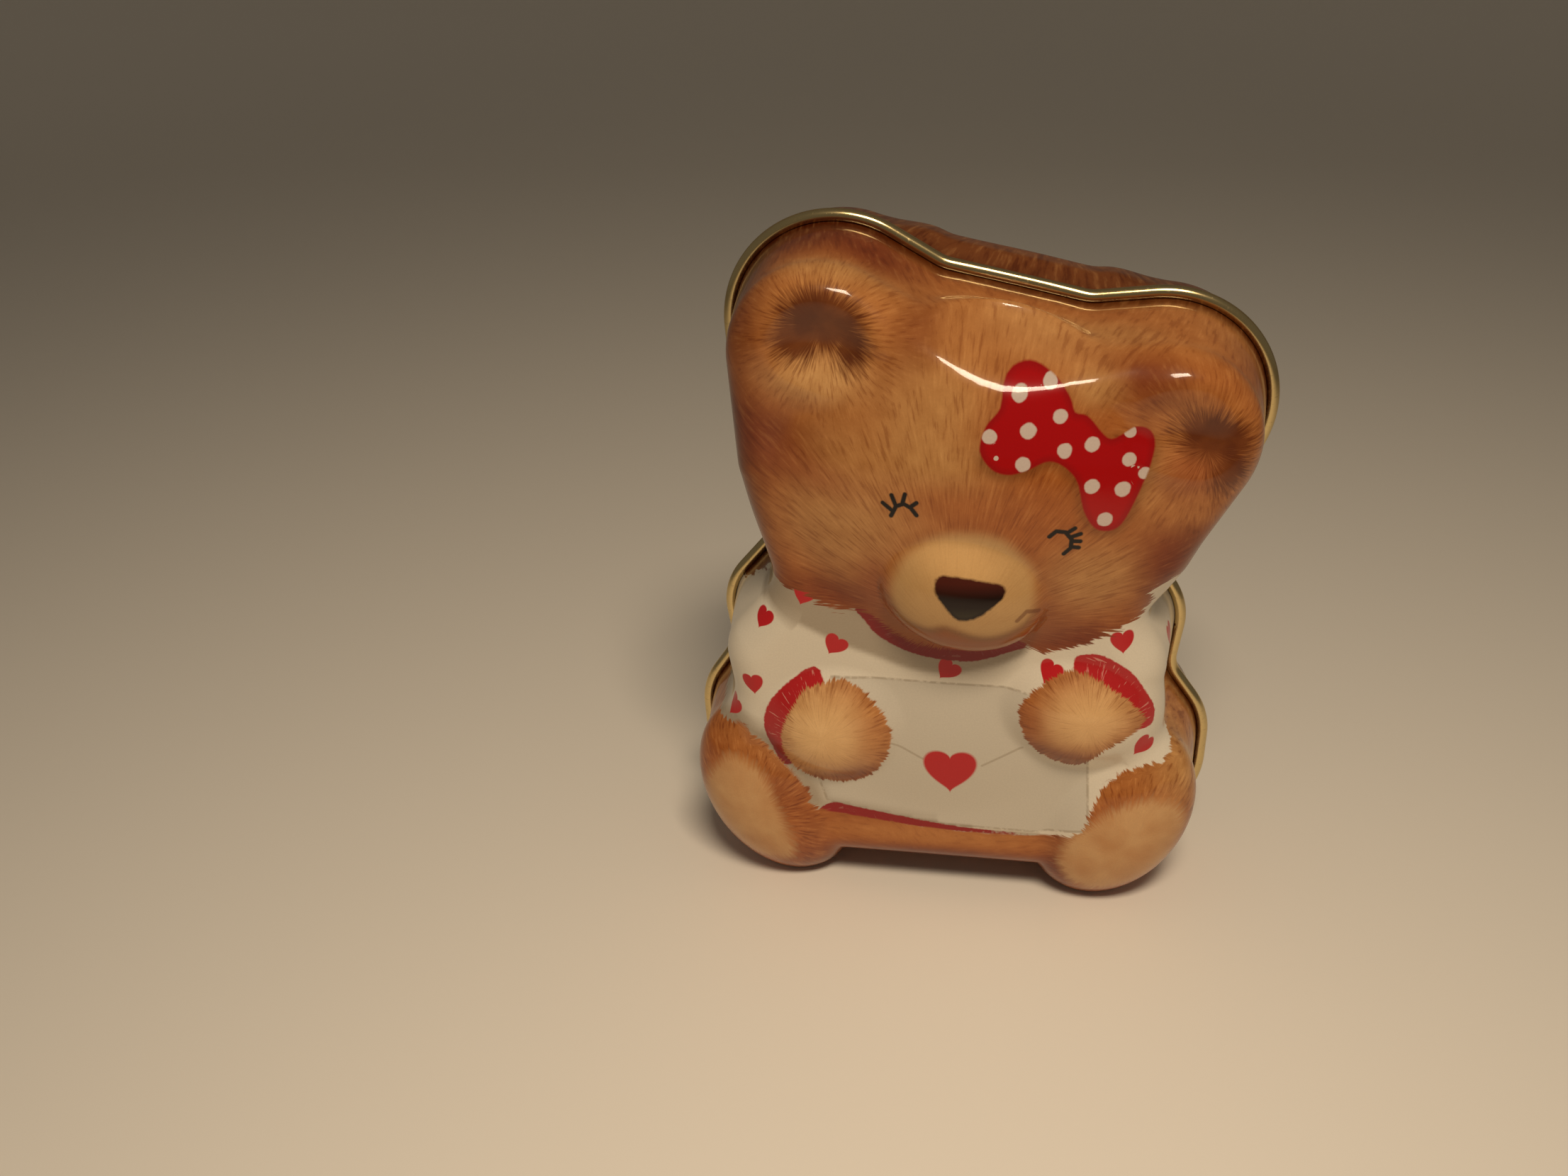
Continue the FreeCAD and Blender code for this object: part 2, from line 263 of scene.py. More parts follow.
def back_relief(points, ways, plan):
    """The back's relief: swellings, then the notch between the ears filled out."""
    moved = swollen(points, ways, BACK_SWELLINGS)
    across, up = turned(plan, *HEAD_MIDDLE, HEAD_TILT)
    rise = NOTCH_RISE * (1 - smooth_step(np.abs(across), *NOTCH_SIDES))
    away = smooth_step(points[:, 1], BACK_START, BACK_START + NOTCH_FADE)
    rise *= smooth_step(up, *NOTCH_HEIGHTS) * away
    moved[:, 0] += rise * math.sin(HEAD_TILT)
    moved[:, 2] += rise * math.cos(HEAD_TILT)
    return moved


# ---- sheet surfaces

FRONT_DEPTH = 22
FRONT_EDGE = 7
FRONT_DRAFT = 1.9
BACK_START = 1.3
BACK_DEPTH = 16
BACK_EDGE = 6.5
BACK_DRAFT = 0.5
NECK_LENGTH = 5
NECK_CLEARANCE = 0.1
NECK_INSET = WALL_INSET + GAUGE + NECK_CLEARANCE
# How far the neck's edge turns in, and over what length; half the length of the step above it.
NECK_TURN_IN = 0.15
NECK_TURN_LENGTH = 0.4
STEP_HALF = 0.1
INNER_CURL = CURL_RADIUS - GAUGE
OUTLINE_STEP = 0.8
FACE_STEP = 0.72
# The grid keeps this share of a step away from its edges.
EDGE_CLEARANCE = 0.6
SMALLEST_TRIANGLE = 0.0005
SLOT_LENGTH = 36
SLOT_WIDTH = 5
SLOT_AT = (7.5, 90)
SLOT_LIP = 1.6
LIP_RADIUS = 0.5
SLOT_STEP = 0.7
# The print runs straight out from the face for this far. Beyond it, its way down the wall is
# evened out over this many outline points on each side.
PRINT_NEAR = 10
PRINT_SPREAD = 13


def profile_arc(centre, radius, first, last, count):
    """Profile points on an arc; 0 degrees is towards the middle and 90 towards +y."""
    angles = np.radians(np.linspace(first, last, count))
    return [(centre[0] + radius * math.cos(a), centre[1] + radius * math.sin(a)) for a in angles]


def profile_line(first, last, count):
    """Even profile points from first to last, without the last."""
    first, last = np.array(first), np.array(last)
    return [tuple(first + (last - first) * i / count) for i in range(count)]


def drawn_wall(start, draft, edge, depth, facing, count):
    """The wall from the rim and its rounded edge, with the way out of each point.

    start is the inset and y of the wall's rim; facing is -1 towards the front and 1 towards
    the back. Each entry is inset, y, way out and way along y."""
    far = facing * (depth - edge)
    rows = [(inset, y, 1.0, 0.0) for inset, y in profile_line(start, (start[0] + draft, far), count)]
    for turn in np.radians(np.linspace(0, 90, 13)):
        inset = start[0] + draft + edge - edge * math.cos(turn)
        y = far + facing * edge * math.sin(turn)
        rows.append((inset, y, math.cos(turn), facing * math.sin(turn)))
    return rows


def front_profile():
    """The front's printed side, from the curled rim's tip to the flat of the face."""
    curl = [(inset, y, 1.0, 0.0) for inset, y in profile_arc((0, 0), INNER_CURL, 322, 0, 22)[:-1]]
    return curl, drawn_wall((INNER_CURL, 0.0), FRONT_DRAFT, FRONT_EDGE, FRONT_DEPTH, -1, 15)


def back_profile():
    """The outer side of the back, from the neck's edge to the flat of the rear face."""
    tip = NECK_INSET + NECK_LENGTH * FRONT_DRAFT / (FRONT_DEPTH - FRONT_EDGE)
    start = (WALL_INSET, BACK_START + STEP_HALF)
    turn = (tip, -NECK_LENGTH + NECK_TURN_LENGTH)
    step = (NECK_INSET, BACK_START - STEP_HALF)
    neck = profile_line((tip + NECK_TURN_IN, -NECK_LENGTH), turn, 2)
    neck += profile_line(turn, (NECK_INSET, 0.0), 5)
    neck += profile_line((NECK_INSET, 0.0), step, 2)
    neck += profile_line(step, start, 3)
    plain = [(inset, y, 1.0, 0.0) for inset, y in neck]
    return plain, drawn_wall(start, BACK_DRAFT, BACK_EDGE, BACK_DEPTH, 1, 9)


def inside_polygon(points, polygon):
    """Which of the points lie inside a closed polygon."""
    x, z = points[:, 0], points[:, 1]
    inside = np.zeros(len(points), bool)
    for (x0, z0), (x1, z1) in zip(polygon, np.roll(polygon, -1, 0)):
        if z0 == z1:
            continue
        crosses = (z0 > z) != (z1 > z)
        inside ^= crosses & (x < (x1 - x0) * (z - z0) / (z1 - z0) + x0)
    return inside


def distance_to(points, polygon):
    """Distance from each point to the nearest corner of a fine polygon."""
    best = np.full(len(points), np.inf)
    for corner in polygon:
        best = np.minimum(best, np.hypot(points[:, 0] - corner[0], points[:, 1] - corner[1]))
    return best


def face_grid(boundary, hole):
    """A triangular grid of points inside the boundary, clear of it and of the hole."""
    low, high = boundary.min(0), boundary.max(0)
    rows = []
    row_step = FACE_STEP * math.sqrt(3) / 2
    for row, z in enumerate(np.arange(low[1], high[1], row_step)):
        offset = FACE_STEP / 2 * (row % 2)
        x = np.arange(low[0] + offset, high[0], FACE_STEP)
        rows.append(np.stack([x, np.full(len(x), z)], 1))
    grid = np.concatenate(rows)
    grid = grid[inside_polygon(grid, boundary)]
    grid = grid[distance_to(grid, boundary) > FACE_STEP * EDGE_CLEARANCE]
    if hole is not None:
        grid = grid[~inside_polygon(grid, hole)]
        grid = grid[distance_to(grid, hole) > FACE_STEP * EDGE_CLEARANCE]
    return grid


def triangulated(boundary, hole):
    """Plan points and triangles that fill the boundary, around any hole."""
    loops = [boundary] if hole is None else [boundary, hole]
    edges, start = [], 0
    for loop in loops:
        edges += [(start + i, start + (i + 1) % len(loop)) for i in range(len(loop))]
        start += len(loop)
    points = np.concatenate([*loops, face_grid(boundary, hole)])
    result = delaunay_2d_cdt([Vector(p) for p in points], edges, [], 0, 1e-6)
    origins = [ids[0] for ids in result[3]]
    triangles = np.array([[origins[i] for i in face] for face in result[2]])
    middles = points[triangles].mean(1)
    first, second = (points[triangles[:, i]] - points[triangles[:, 0]] for i in (1, 2))
    area = np.abs(first[:, 0] * second[:, 1] - first[:, 1] * second[:, 0]) / 2
    keep = inside_polygon(middles, boundary) & (area > SMALLEST_TRIANGLE)
    if hole is not None:
        keep &= ~inside_polygon(middles, hole)
    return points, triangles[keep]


def rings(outline, normals, profile):
    """Places and ways out of the rings that the profile sweeps along the outline."""
    places, ways = [], []
    for inset, y, way_out, way_y in profile:
        plan = outline - normals * inset
        places.append(np.insert(plan, 1, y, 1))
        ways.append(np.insert(normals * way_out, 1, way_y, 1))
    return np.concatenate(places), np.concatenate(ways)


def band(first, second, size):
    """Quads between two rings of size points each, given the vertices they start at."""
    following = [(i + 1) % size for i in range(size)]
    return [(first + i, first + j, second + j, second + i) for i, j in enumerate(following)]


def print_places(outline, normals, profile, face_inset):
    """Where each ring point was on the flat sheet before drawing."""
    steps = [math.hypot(b[0] - a[0], b[1] - a[1]) for a, b in zip(profile, profile[1:])] + [0.0]
    runs = np.cumsum(steps[::-1])[::-1]
    edge = outline - normals * face_inset
    shifts = range(-PRINT_SPREAD, PRINT_SPREAD + 1)
    spread = np.sum([np.roll(normals, shift, 0) for shift in shifts], 0)
    spread /= np.linalg.norm(spread, axis=1)[:, None]
    near = np.minimum(runs, PRINT_NEAR)
    return np.concatenate([edge + normals * a + spread * b for a, b in zip(near, runs - near)])


def vertex_normals(points, faces):
    """Area-weighted unit normals of a mesh of triangles and quads."""
    total = np.zeros_like(points)
    for size in (3, 4):
        group = np.array([face for face in faces if len(face) == size])
        if not len(group):
            continue
        corners = points[group]
        if size == 3:
            normal = np.cross(corners[:, 1] - corners[:, 0], corners[:, 2] - corners[:, 0])
        else:
            normal = np.cross(corners[:, 2] - corners[:, 0], corners[:, 3] - corners[:, 1])
        for k in range(size):
            np.add.at(total, group[:, k], normal)
    return total / np.linalg.norm(total, axis=1)[:, None]


def add_hole_lip(sheet, hole_start, hole, depth):
    """Turn the edge of a hole inwards into the tin."""
    points, printed_at, faces, materials = sheet
    count = len(hole)
    edge = points[hole_start : hole_start + count]
    around = hole - np.roll(hole, 1, 0)
    inwards = np.column_stack([-around[:, 1], around[:, 0]])
    inwards /= np.linalg.norm(inwards, axis=1)[:, None]
    rows = [(math.sin(a), 1 - math.cos(a)) for a in np.radians((30, 60, 90))]
    rows.append((1.0, depth / LIP_RADIUS))
    previous = hole_start
    for inset, sunk in rows:
        ring = edge.copy()
        ring[:, 0] += inwards[:, 0] * inset * LIP_RADIUS
        ring[:, 2] += inwards[:, 1] * inset * LIP_RADIUS
        ring[:, 1] -= sunk * LIP_RADIUS
        start = len(points)
        points = np.concatenate([points, ring])
        printed_at = np.concatenate([printed_at, printed_at[hole_start : hole_start + count]])
        faces += band(previous, start, count)
        materials += [0] * count
        previous = start
    return points, printed_at, faces, materials, list(range(previous, previous + count))


def make_half(profile, relief, facing, hole=None):
    """The outer side of one drawn half, with a list of its open edges."""
    outline, normals = rounded_outline(OUTLINE_STEP)
    size = len(outline)
    plain, wall = profile
    rows = plain + wall
    ring_points, ring_ways = rings(outline, normals, rows)
    face_inset, face_y = wall[-1][:2]
    boundary = outline - normals * face_inset
    plan, triangles = triangulated(boundary, hole)
    inner = plan[size:]
    inner_points = np.insert(inner, 1, face_y, 1)
    inner_ways = np.tile([0.0, float(facing), 0.0], (len(inner), 1))
    points = np.concatenate([ring_points, inner_points])
    ways = np.concatenate([ring_ways, inner_ways])
    printed_at = np.concatenate([print_places(outline, normals, rows, face_inset), inner])
    moved = relief(points, ways, points[:, [0, 2]])
    moved[:, 2] = np.maximum(moved[:, 2], 0.0)
    last = (len(rows) - 1) * size
    faces = [quad for row in range(len(rows) - 1) for quad in band(row * size, (row + 1) * size, size)]
    if facing > 0:
        faces = [face[::-1] for face in faces]
        triangles = triangles[:, ::-1]
    faces += [tuple(int(i) + last for i in triangle) for triangle in triangles]
    materials = [1] * (len(plain) * size) + [0] * (len(faces) - len(plain) * size)
    edges = [list(range(size))]
    sheet = (moved, printed_at, faces, materials)
    if hole is not None:
        *sheet, lip = add_hole_lip(sheet, last + size, hole, SLOT_LIP)
        edges.append(lip)
    return sheet, edges


def thickened(sheet, edges):
    """Give the sheet an inner side, and narrow faces round its open edges."""
    points, printed_at, faces, materials = sheet
    count = len(points)
    inner = points - vertex_normals(points, faces) * GAUGE
    inner[:, 2] = np.maximum(inner[:, 2], GAUGE)
    closed = list(faces) + [tuple(count + i for i in reversed(face)) for face in faces]
    kinds = list(materials) + [1] * len(faces)
    directed = {(face[i], face[(i + 1) % len(face)]) for face in faces for i in range(len(face))}
    for edge in edges:
        for i in range(len(edge)):
            a, b = edge[i], edge[(i + 1) % len(edge)]
            if (a, b) not in directed:
                a, b = b, a
            closed.append((b, a, count + a, count + b))
            kinds.append(1)
    return np.concatenate([points, inner]), np.concatenate([printed_at, printed_at]), closed, kinds


def add_attribute(mesh, name, values):
    """Store one value per vertex, on the sheet's outer side and again on its inner side."""
    is_colour = name == "fur_tone"
    if is_colour:
        values = (*values, np.ones(len(values[0])))
    attribute = mesh.attributes.new(name, "FLOAT_COLOR" if is_colour else "FLOAT_VECTOR", "POINT")
    both = np.tile(np.column_stack(values), (2, 1)).astype(np.float32)
    attribute.data.foreach_set("color" if is_colour else "vector", both.ravel())


def add_object(name, data):
    """A new object in the scene."""
    thing = bpy.data.objects.new(name, data)
    bpy.context.scene.collection.objects.link(thing)
    return thing


def make_piece(name, sheet, layout, materials, node, body):
    """A closed sheet that stands for a CAD node and rides on its body."""
    points, printed_at, faces, kinds = sheet
    mesh = bpy.data.meshes.new(name)
    places = [Vector(p) * MM + SHIFT for p in points]
    mesh.from_pydata(places, [], faces)
    for material in materials:
        mesh.materials.append(material)
    mesh.polygons.foreach_set("material_index", kinds)
    mesh.polygons.foreach_set("use_smooth", [True] * len(faces))
    plan = printed_at[: len(printed_at) // 2]
    add_attribute(mesh, "printed_at", (plan, np.zeros(len(plan))))
    for attribute, values in layout(plan, points[: len(plan), 1]).items():
        add_attribute(mesh, attribute, values)
    mesh.update()
    piece = add_object(name, mesh)
    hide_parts(node)
    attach(piece, body)
    return piece


def slot_outline():
    """The coin slot's outline on the rear face, clockwise, with round ends."""
    radius = SLOT_WIDTH / 2 + LIP_RADIUS
    half = (SLOT_LENGTH - SLOT_WIDTH) / 2
    points = []
    for side in (1, -1):
        for angle in np.radians(np.linspace(90, -90, 15)):
            across = side * (half + radius * math.cos(angle))
            points.append((SLOT_AT[0] + across, SLOT_AT[1] + side * radius * math.sin(angle)))
    points = np.array(points)
    fine = []
    for first, last in zip(points, np.roll(points, -1, 0)):
        count = max(1, round(np.linalg.norm(last - first) / SLOT_STEP))
        fine += [first + (last - first) * i / count for i in range(count)]
    return np.array(fine)


# ---- layout of the print

# Linear colours of the inks, as seen through the varnish.
CREAM = (0.82, 0.48, 0.19)
WARM = (0.62, 0.32, 0.11)
TAN = (0.58, 0.235, 0.066)
ORANGE = (0.43, 0.125, 0.024)
RUST = (0.20, 0.027, 0.004)
BROWN = (0.14, 0.029, 0.006)
UMBER = (0.07, 0.014, 0.003)
BLUSH = (0.33, 0.11, 0.038)
PALE = (0.90, 0.56, 0.25)
MUZZLE_TONE = (0.56, 0.32, 0.125)
CLAY = (0.40, 0.115, 0.035)
BACK_BROWN = (0.15, 0.045, 0.012)

# Places on the print are x and z of the flat sheet before it was drawn. Each outline but the
# envelope's is a smooth loop through its points.
BOW = [
    (10.2, 101.4), (13.8, 102.5), (17.7, 100.8), (19.8, 98.2), (20.6, 96.2), (22.5, 95.6), (25.6, 92.2),
    (27.7, 92.7), (29.7, 93.8), (31.8, 93), (32.6, 90.4), (31.5, 85.7), (29.4, 80.4), (27.9, 78.1),
    (26.1, 77.6), (24.2, 78.4), (22.5, 81.4), (21.1, 86.5), (17.5, 89.3), (13.9, 88), (11.1, 87.3),
    (8.5, 88.2), (6.7, 91), (7.5, 94.6), (9.5, 97.2),
]
# Dots of the bow: x, z, radius.
DOTS = [
    (12.3, 99.1, 1.2), (16.7, 100.4, 1.1), (18.4, 95.8, 1.1), (13.8, 93.9, 1.25), (8.1, 93.1, 1.15),
    (13.2, 88.9, 1.2), (19.3, 90.8, 1.15), (23.3, 91.5, 1.15), (28.8, 93, 0.95), (28.9, 88.8, 1.1),
    (31.3, 86.5, 1), (23.6, 85.1, 1.2), (28.2, 84.3, 1.25), (25.8, 79.6, 1.2), (9.2, 89.9, 0.4),
]
NOSE = [
    (0.3, 70.2), (1.5, 71.1), (4.9, 70.9), (10, 69.9), (11.2, 69), (11, 67.7), (7.8, 64.9),
    (5.5, 63.8), (3.6, 64.1), (1.7, 66.4), (0.4, 68.4),
]
MUZZLE = [
    (-7.2, 65.9), (-6.3, 70.7), (-3.9, 74.2), (0.2, 76.8), (5.3, 77.7), (10.3, 76.8), (14.1, 73.4),
    (16, 69.4), (15.5, 63.4), (11.8, 60.5), (7.5, 60), (3.4, 61.5), (1.7, 61.9), (-1, 60.9),
    (-5.2, 62.1),
]
HEAD_EDGE = [
    (-70, 68), (-36.2, 64.1), (-24, 62.9), (-20.2, 60.8), (-16.3, 59.4), (-12.4, 59.8),
    (-9.1, 57.3), (-5.6, 54.5), (-1.9, 53.3), (1.4, 52.9), (5.2, 53.2), (9, 54.2), (12.8, 55.6),
    (15.1, 54.3), (18.6, 53.4), (25.8, 56.2), (31, 59), (33.8, 59.7), (35.1, 62.3), (37, 66),
    (80, 74), (80, 170), (-70, 170),
]
LOWER_EDGE = [
    (-80, 38), (-40, 34.6), (-36.8, 35), (-34.5, 34.5), (-29.6, 30.4), (-25.8, 26.1),
    (-23, 22.2), (-21, 18), (-13.5, 16.6), (1, 15.1), (14.8, 15.1), (21.5, 16.2),
    (25.2, 18.6), (26.8, 24), (28.8, 27.9), (31.6, 30.6), (35.1, 31.8), (39.2, 32.8),
    (41.4, 35.9), (46, 42.5), (52, 47.5), (80, 53), (80, -60), (-80, -60),
]
LEFT_PAW = [
    (-19.7, 45.5), (-16, 46.3), (-12.2, 44.3), (-8.7, 39.7), (-7.7, 35.9), (-8.8, 30.9),
    (-11.6, 26.3), (-16.7, 24), (-21.8, 24.7), (-26.1, 28.2), (-27.2, 35.2), (-23.3, 43.5),
]
RIGHT_PAW = [
    (14.4, 44.6), (18.5, 49), (23.3, 50.6), (30.1, 47.1), (33.2, 43.5), (33.9, 41), (28.4, 36.8),
    (23.9, 31.9), (19.1, 32.9), (15.6, 36.2), (14, 40.6),
]
LEFT_CUFF = [
    (-20.2, 47.7), (-25.3, 45), (-29.3, 40.2), (-30.5, 35.5), (-29.2, 31.2), (-26.2, 27.4), (-18, 36),
]
RIGHT_CUFF = [
    (22.4, 52), (24.6, 53.4), (27.2, 53.2), (31.8, 50.3), (34.9, 45.4), (35.8, 42.3), (33.9, 39.8),
    (24, 44),
]
COLLAR = [
    (-13.4, 60.4), (-12, 57.6), (-10.2, 55.1), (-6.4, 52.7), (-1.8, 51.2), (4.6, 50.7), (8, 51.4),
    (11.3, 52.8), (14.8, 54.9), (8, 58), (-5, 60),
]
HEM = [
    (-21.4, 17.6), (-18.4, 19.3), (-15, 18.7), (1, 16.2), (10, 15.6), (17, 15.3), (16, 14.9), (1, 14.9),
    (-13, 16), (-18, 15.6),
]
ENVELOPE = [
    (-18, 46.6), (15.5, 46.1), (26, 45), (25.5, 34.1), (26.3, 19), (17.5, 16.1), (2, 16.2),
    (-13.1, 18), (-19.7, 19.6), (-21, 24), (-19, 36),
]
LEFT_SOLE = [
    (-38.3, 27.9), (-34.4, 28.4), (-30.4, 25.5), (-28, 19.1), (-25.8, 11.5), (-27.1, 7.6),
    (-33.9, 7.7), (-41.5, 13.5), (-42.5, 21),
]
RIGHT_SOLE = [
    (27.6, 21.6), (30.4, 24.1), (34.7, 25.8), (38.1, 25.8), (41.5, 23), (43, 18), (40, 10.5),
    (33, 6.5), (25.5, 6), (21.5, 9.7), (23, 16.5),
]
# Dark dishes of the ears: x, z, half sizes, lean.
DISHES = [
    (-17.7, 109.3, 7, 5.4, 10), (-21.5, 106.6, 4.4, 4, 0), (-13.2, 105.6, 3.2, 4.6, 0),
    (41.4, 92, 6.6, 4.4, 10), (43.8, 87, 3.2, 4.6, 10),
]
# Soft shadow that the head throws on the shirt: its lower edge.
HEAD_SHADE = [
    (-38, 64), (-28, 58.6), (-20.4, 54.6), (-15.8, 52.4), (-10.6, 50.6), (-5.1, 48.6), (-0.6, 47.9),
    (3.8, 48.2), (8.1, 49.4), (12.2, 51.3), (15, 54), (15, 62), (0, 70),
]
# Hearts: x, z, half width, lean in degrees.
HEARTS = [
    (-22.4, 61.6, 2.1, 20), (-30.3, 56, 2, 22), (-32.1, 43, 2.1, -8),
    (-17.6, 52.1, 2.1, 32), (-37.6, 36.9, 2, 32), (1.4, 48.5, 2.1, 38), (18.4, 49.6, 2, 28),
    (30.1, 55.4, 2.1, -4), (46.8, 51.3, 2.1, 0), (34, 35.5, 2.1, 38), (2.3, 27.4, 4.7, 0),
]
# Hearts of the back, a guess in the same style.
BACK_HEARTS = [
    (-20, 50, 2.1, 25), (-4, 54, 2.1, -10), (13, 49, 2.1, 30), (28, 53, 2.1, 5),
    (-29, 37, 2.1, -15), (-11, 38, 2.1, 20), (4, 37, 2.1, 35), (21, 36, 2.1, -12),
    (-3, 22, 2.1, 15), (36, 40, 2.1, 20), (-40, 50, 2.1, 10), (46, 52, 2.1, 15),
]
BACK_HEAD_EDGE = [
    (-80, 66), (-34, 62.5), (-20, 58.5), (-4, 57), (12, 57), (26, 58), (38, 62),
    (80, 70), (80, 170), (-80, 170),
]
BACK_LOWER_EDGE = [
    (-80, 40), (-42, 33), (-34, 27), (-26, 19.5), (-15, 16.2), (0, 15.4), (15, 16.2),
    (26, 19.5), (34, 27), (42, 33), (80, 40), (80, -60), (-80, -60),
]
# Middles that the strokes run out from: the face, the back, then ears, paws and soles.
FACE_FROM = (3.5, 60)
BACK_FROM = (7.5, 40)
PARTS = [(-17.8, 108.4), (40.3, 90), (-19.5, 36), (25.5, 42), (-34, 17.5), (33, 15.5)]
# The ears' strokes give way to the face's between these distances.
EAR_REACH = (12.5, 19)
SEAT = 52

# Soft patches of colour: x, z, half sizes, lean in degrees, colour, strength.
FUR_PATCHES = [
    (11, 111, 18, 9, 13, TAN, 1),
    (14, 107, 12, 5, 13, CREAM, 0.3),
    (-1, 90, 10, 10, 0, WARM, 0.85),
    (5, 99, 8, 8, 13, TAN, 0.6),
    (-15, 77, 12, 10, 0, WARM, 0.75),
    (24.5, 69, 8.5, 7, 0, WARM, 0.75),
    (4, 81.5, 10, 4, 13, ORANGE, 0.8),
    (-4, 106, 4.6, 9, 30, RUST, 1),
    (2.5, 109, 4, 6, 13, TAN, 0.7),
    (-2, 98.5, 9, 6, 0, WARM, 0.7),
    (-16.5, 90.5, 8, 6, 0, WARM, 0.55),
    (26, 111.5, 9, 4, 13, WARM, 0.5),
    (-30, 91.5, 11, 7.5, 10, RUST, 1),
    (31.5, 100.6, 6, 4.2, 13, RUST, 1),
    (23.5, 99.6, 4, 3, 0, WARM, 0.8),
    (38.5, 107, 6, 3.2, 13, TAN, 0.6),
    (33.5, 85, 3, 6, 10, WARM, 0.75),
    (37.5, 73, 6, 12, 5, RUST, 1),
    (-40, 78, 9.5, 18, 0, BROWN, 1),
    (-17, 62.5, 12, 3.6, 8, RUST, 0.75),
    (22, 56, 10, 3.2, -12, RUST, 0.9),
    (18, 66, 3, 7, 0, RUST, 0.25),
    (-9.8, 65.5, 3.2, 6, 0, CLAY, 0.8),
    (-21, 86, 9, 3, 20, CLAY, 0.5),
    (9, 93, 3, 6, 0, CLAY, 0.4),
    (-17.5, 108.5, 15, 14, 0, TAN, 0.9),
    (-18.5, 100.5, 8, 3.8, 0, CREAM, 0.65),
    (-31, 108, 5, 8, 0, RUST, 0.45),
    (-16, 118, 10, 3.4, 10, WARM, 0.7),
    (40.5, 89.5, 13, 13.5, 0, TAN, 0.6),
    (38.5, 86.5, 5.5, 4.5, 0, CLAY, 0.8),
    (37.5, 80, 6, 3, -15, TAN, 0.6),
    (-24, 134, 34, 9.5, -8, RUST, 1),
    (-24, 131, 26, 5.5, -8, BROWN, 0.7),
    (-8, 125, 9, 6, 30, RUST, 0.8),
    (-42, 122, 10, 16, -30, UMBER, 0.8),
    (-56, 104, 8, 22, 0, BROWN, 0.9),
    (46, 115, 20, 9, 20, TAN, 0.75),
    (66, 92, 9, 22, 0, RUST, 0.8),
    (3.5, 58, 15, 3.6, 0, BLUSH, 1),
    (-20, 36.5, 10, 10, 0, PALE, 0.95),
    (-9.5, 36, 3.6, 9, 0, TAN, 0.7),
    (-14.5, 26, 9, 2.4, -10, RUST, 0.6),
    (25, 43, 8.5, 6.8, -20, PALE, 0.85),
    (15, 40, 3, 7, 0, ORANGE, 0.8),
    (22, 34, 7, 2.6, 10, RUST, 0.65),
    (-36, 31.5, 8, 3, 35, TAN, 0.4),
    (-27, 23, 3.4, 7, -35, RUST, 0.25),
    (-24, 10, 3.6, 6, -20, CLAY, 0.5),
    (31, 28, 8, 2.8, -25, TAN, 0.45),
    (44, 32, 8, 9, 0, WARM, 0.9),
    (53, 41, 6, 9, 0, TAN, 0.8),
    (21, 10, 3.6, 6, 10, RUST, 0.7),
    (0, 13.4, 22, 2.6, 0, TAN, 0.75),
    (0, 8, 20, 2.6, 0, RUST, 0.8),
    # Painted shade: this dark band at the very bottom stands for the shadow under the body.
    (0, 3, 24, 4, 0, UMBER, 1),
]
BACK_PATCHES = [
    (7.5, 96, 26, 20, 13, ORANGE, 0.55),
    (-20, 110, 9, 8, 0, BROWN, 0.6),
    (40, 95, 9, 8, 0, BROWN, 0.6),
    (5, 58, 34, 4, 0, UMBER, 0.7),
    (-30, 15, 9, 8, 0, ORANGE, 0.6),
    (30, 15, 9, 8, 0, ORANGE, 0.6),
]
MUZZLE_LIGHT = (3.5, 73, 7.5, 3.8, 13, CREAM, 0.75)
# The muzzle's edge, the painted shade in the crease round its foot, the bow's painted shadow, and the dark
# at the rim, a printed border that also stands for painted shade under the curled rim.
MUZZLE_EDGE = (-1.2, 1.6)
CREASE_HALF = 0.7
CREASE_SHADE_DARK = 0.35
CREASE_HEIGHTS = (62, 67)
BOW_SHADOW = 2.2
BOW_SHADOW_DARK = 0.3
BOW_SHADOW_HEIGHTS = (88, 94)
# The dark at the rim is partly a printed border and partly painted shade under the curled rim.
RIM_BORDER_AND_SHADE = 0.85
RIM_REACH = (1, 5)
# Strength of the strokes on the head, what the body adds, and the shares lost elsewhere.
HEAD_STREAK = 0.55
BODY_STREAK = 0.25
PAW_LOSS = 0.5
STRIP_LOSS = 0.6
MUZZLE_LOSS = 0.75
BLUSH_LOSS = 0.85
BACK_STREAK = 0.8
# The strip between the legs, and the blush below the chin: x, z, half sizes.
STRIP_HALF = 20
STRIP_TOP = 20
CHIN_BLUSH = (3.5, 57.5, 15, 3.8)
# How far the strokes push the fur's edge in and out.
HEAD_ROUGH = 4.5
LEG_ROUGH = 3.2
PAW_ROUGH = 2.2
STRIP_ROUGH = 0.8
PAW_NEAR = 4
# Painted shade on the shirt.
HEAD_SHADE_DARK = 0.75
LEG_SHADE_DARK = 0.8
LEG_SHADE_HEIGHTS = (15, 20)
HEM_DARK = 0.55
BACK_SHADE_DARK = 0.5
# How far away the back is from the shapes that it doesn't have.
NOWHERE = 50


def smooth_loop(corners, pieces=4):
    """A smooth closed line through the corners, as a fine polygon."""
    p = np.array(corners, float)
    before, after, beyond = np.roll(p, 1, 0), np.roll(p, -1, 0), np.roll(p, -2, 0)
    square = 2 * before - 5 * p + 4 * after - beyond
    cube = 3 * p - before - 3 * after + beyond
    rows = []
    for t in np.arange(pieces) / pieces:
        rows.append(p + ((after - before) * t + (square * t**2 + cube * t**3)) / 2)
    return np.stack(rows, 1).reshape(-1, 2)


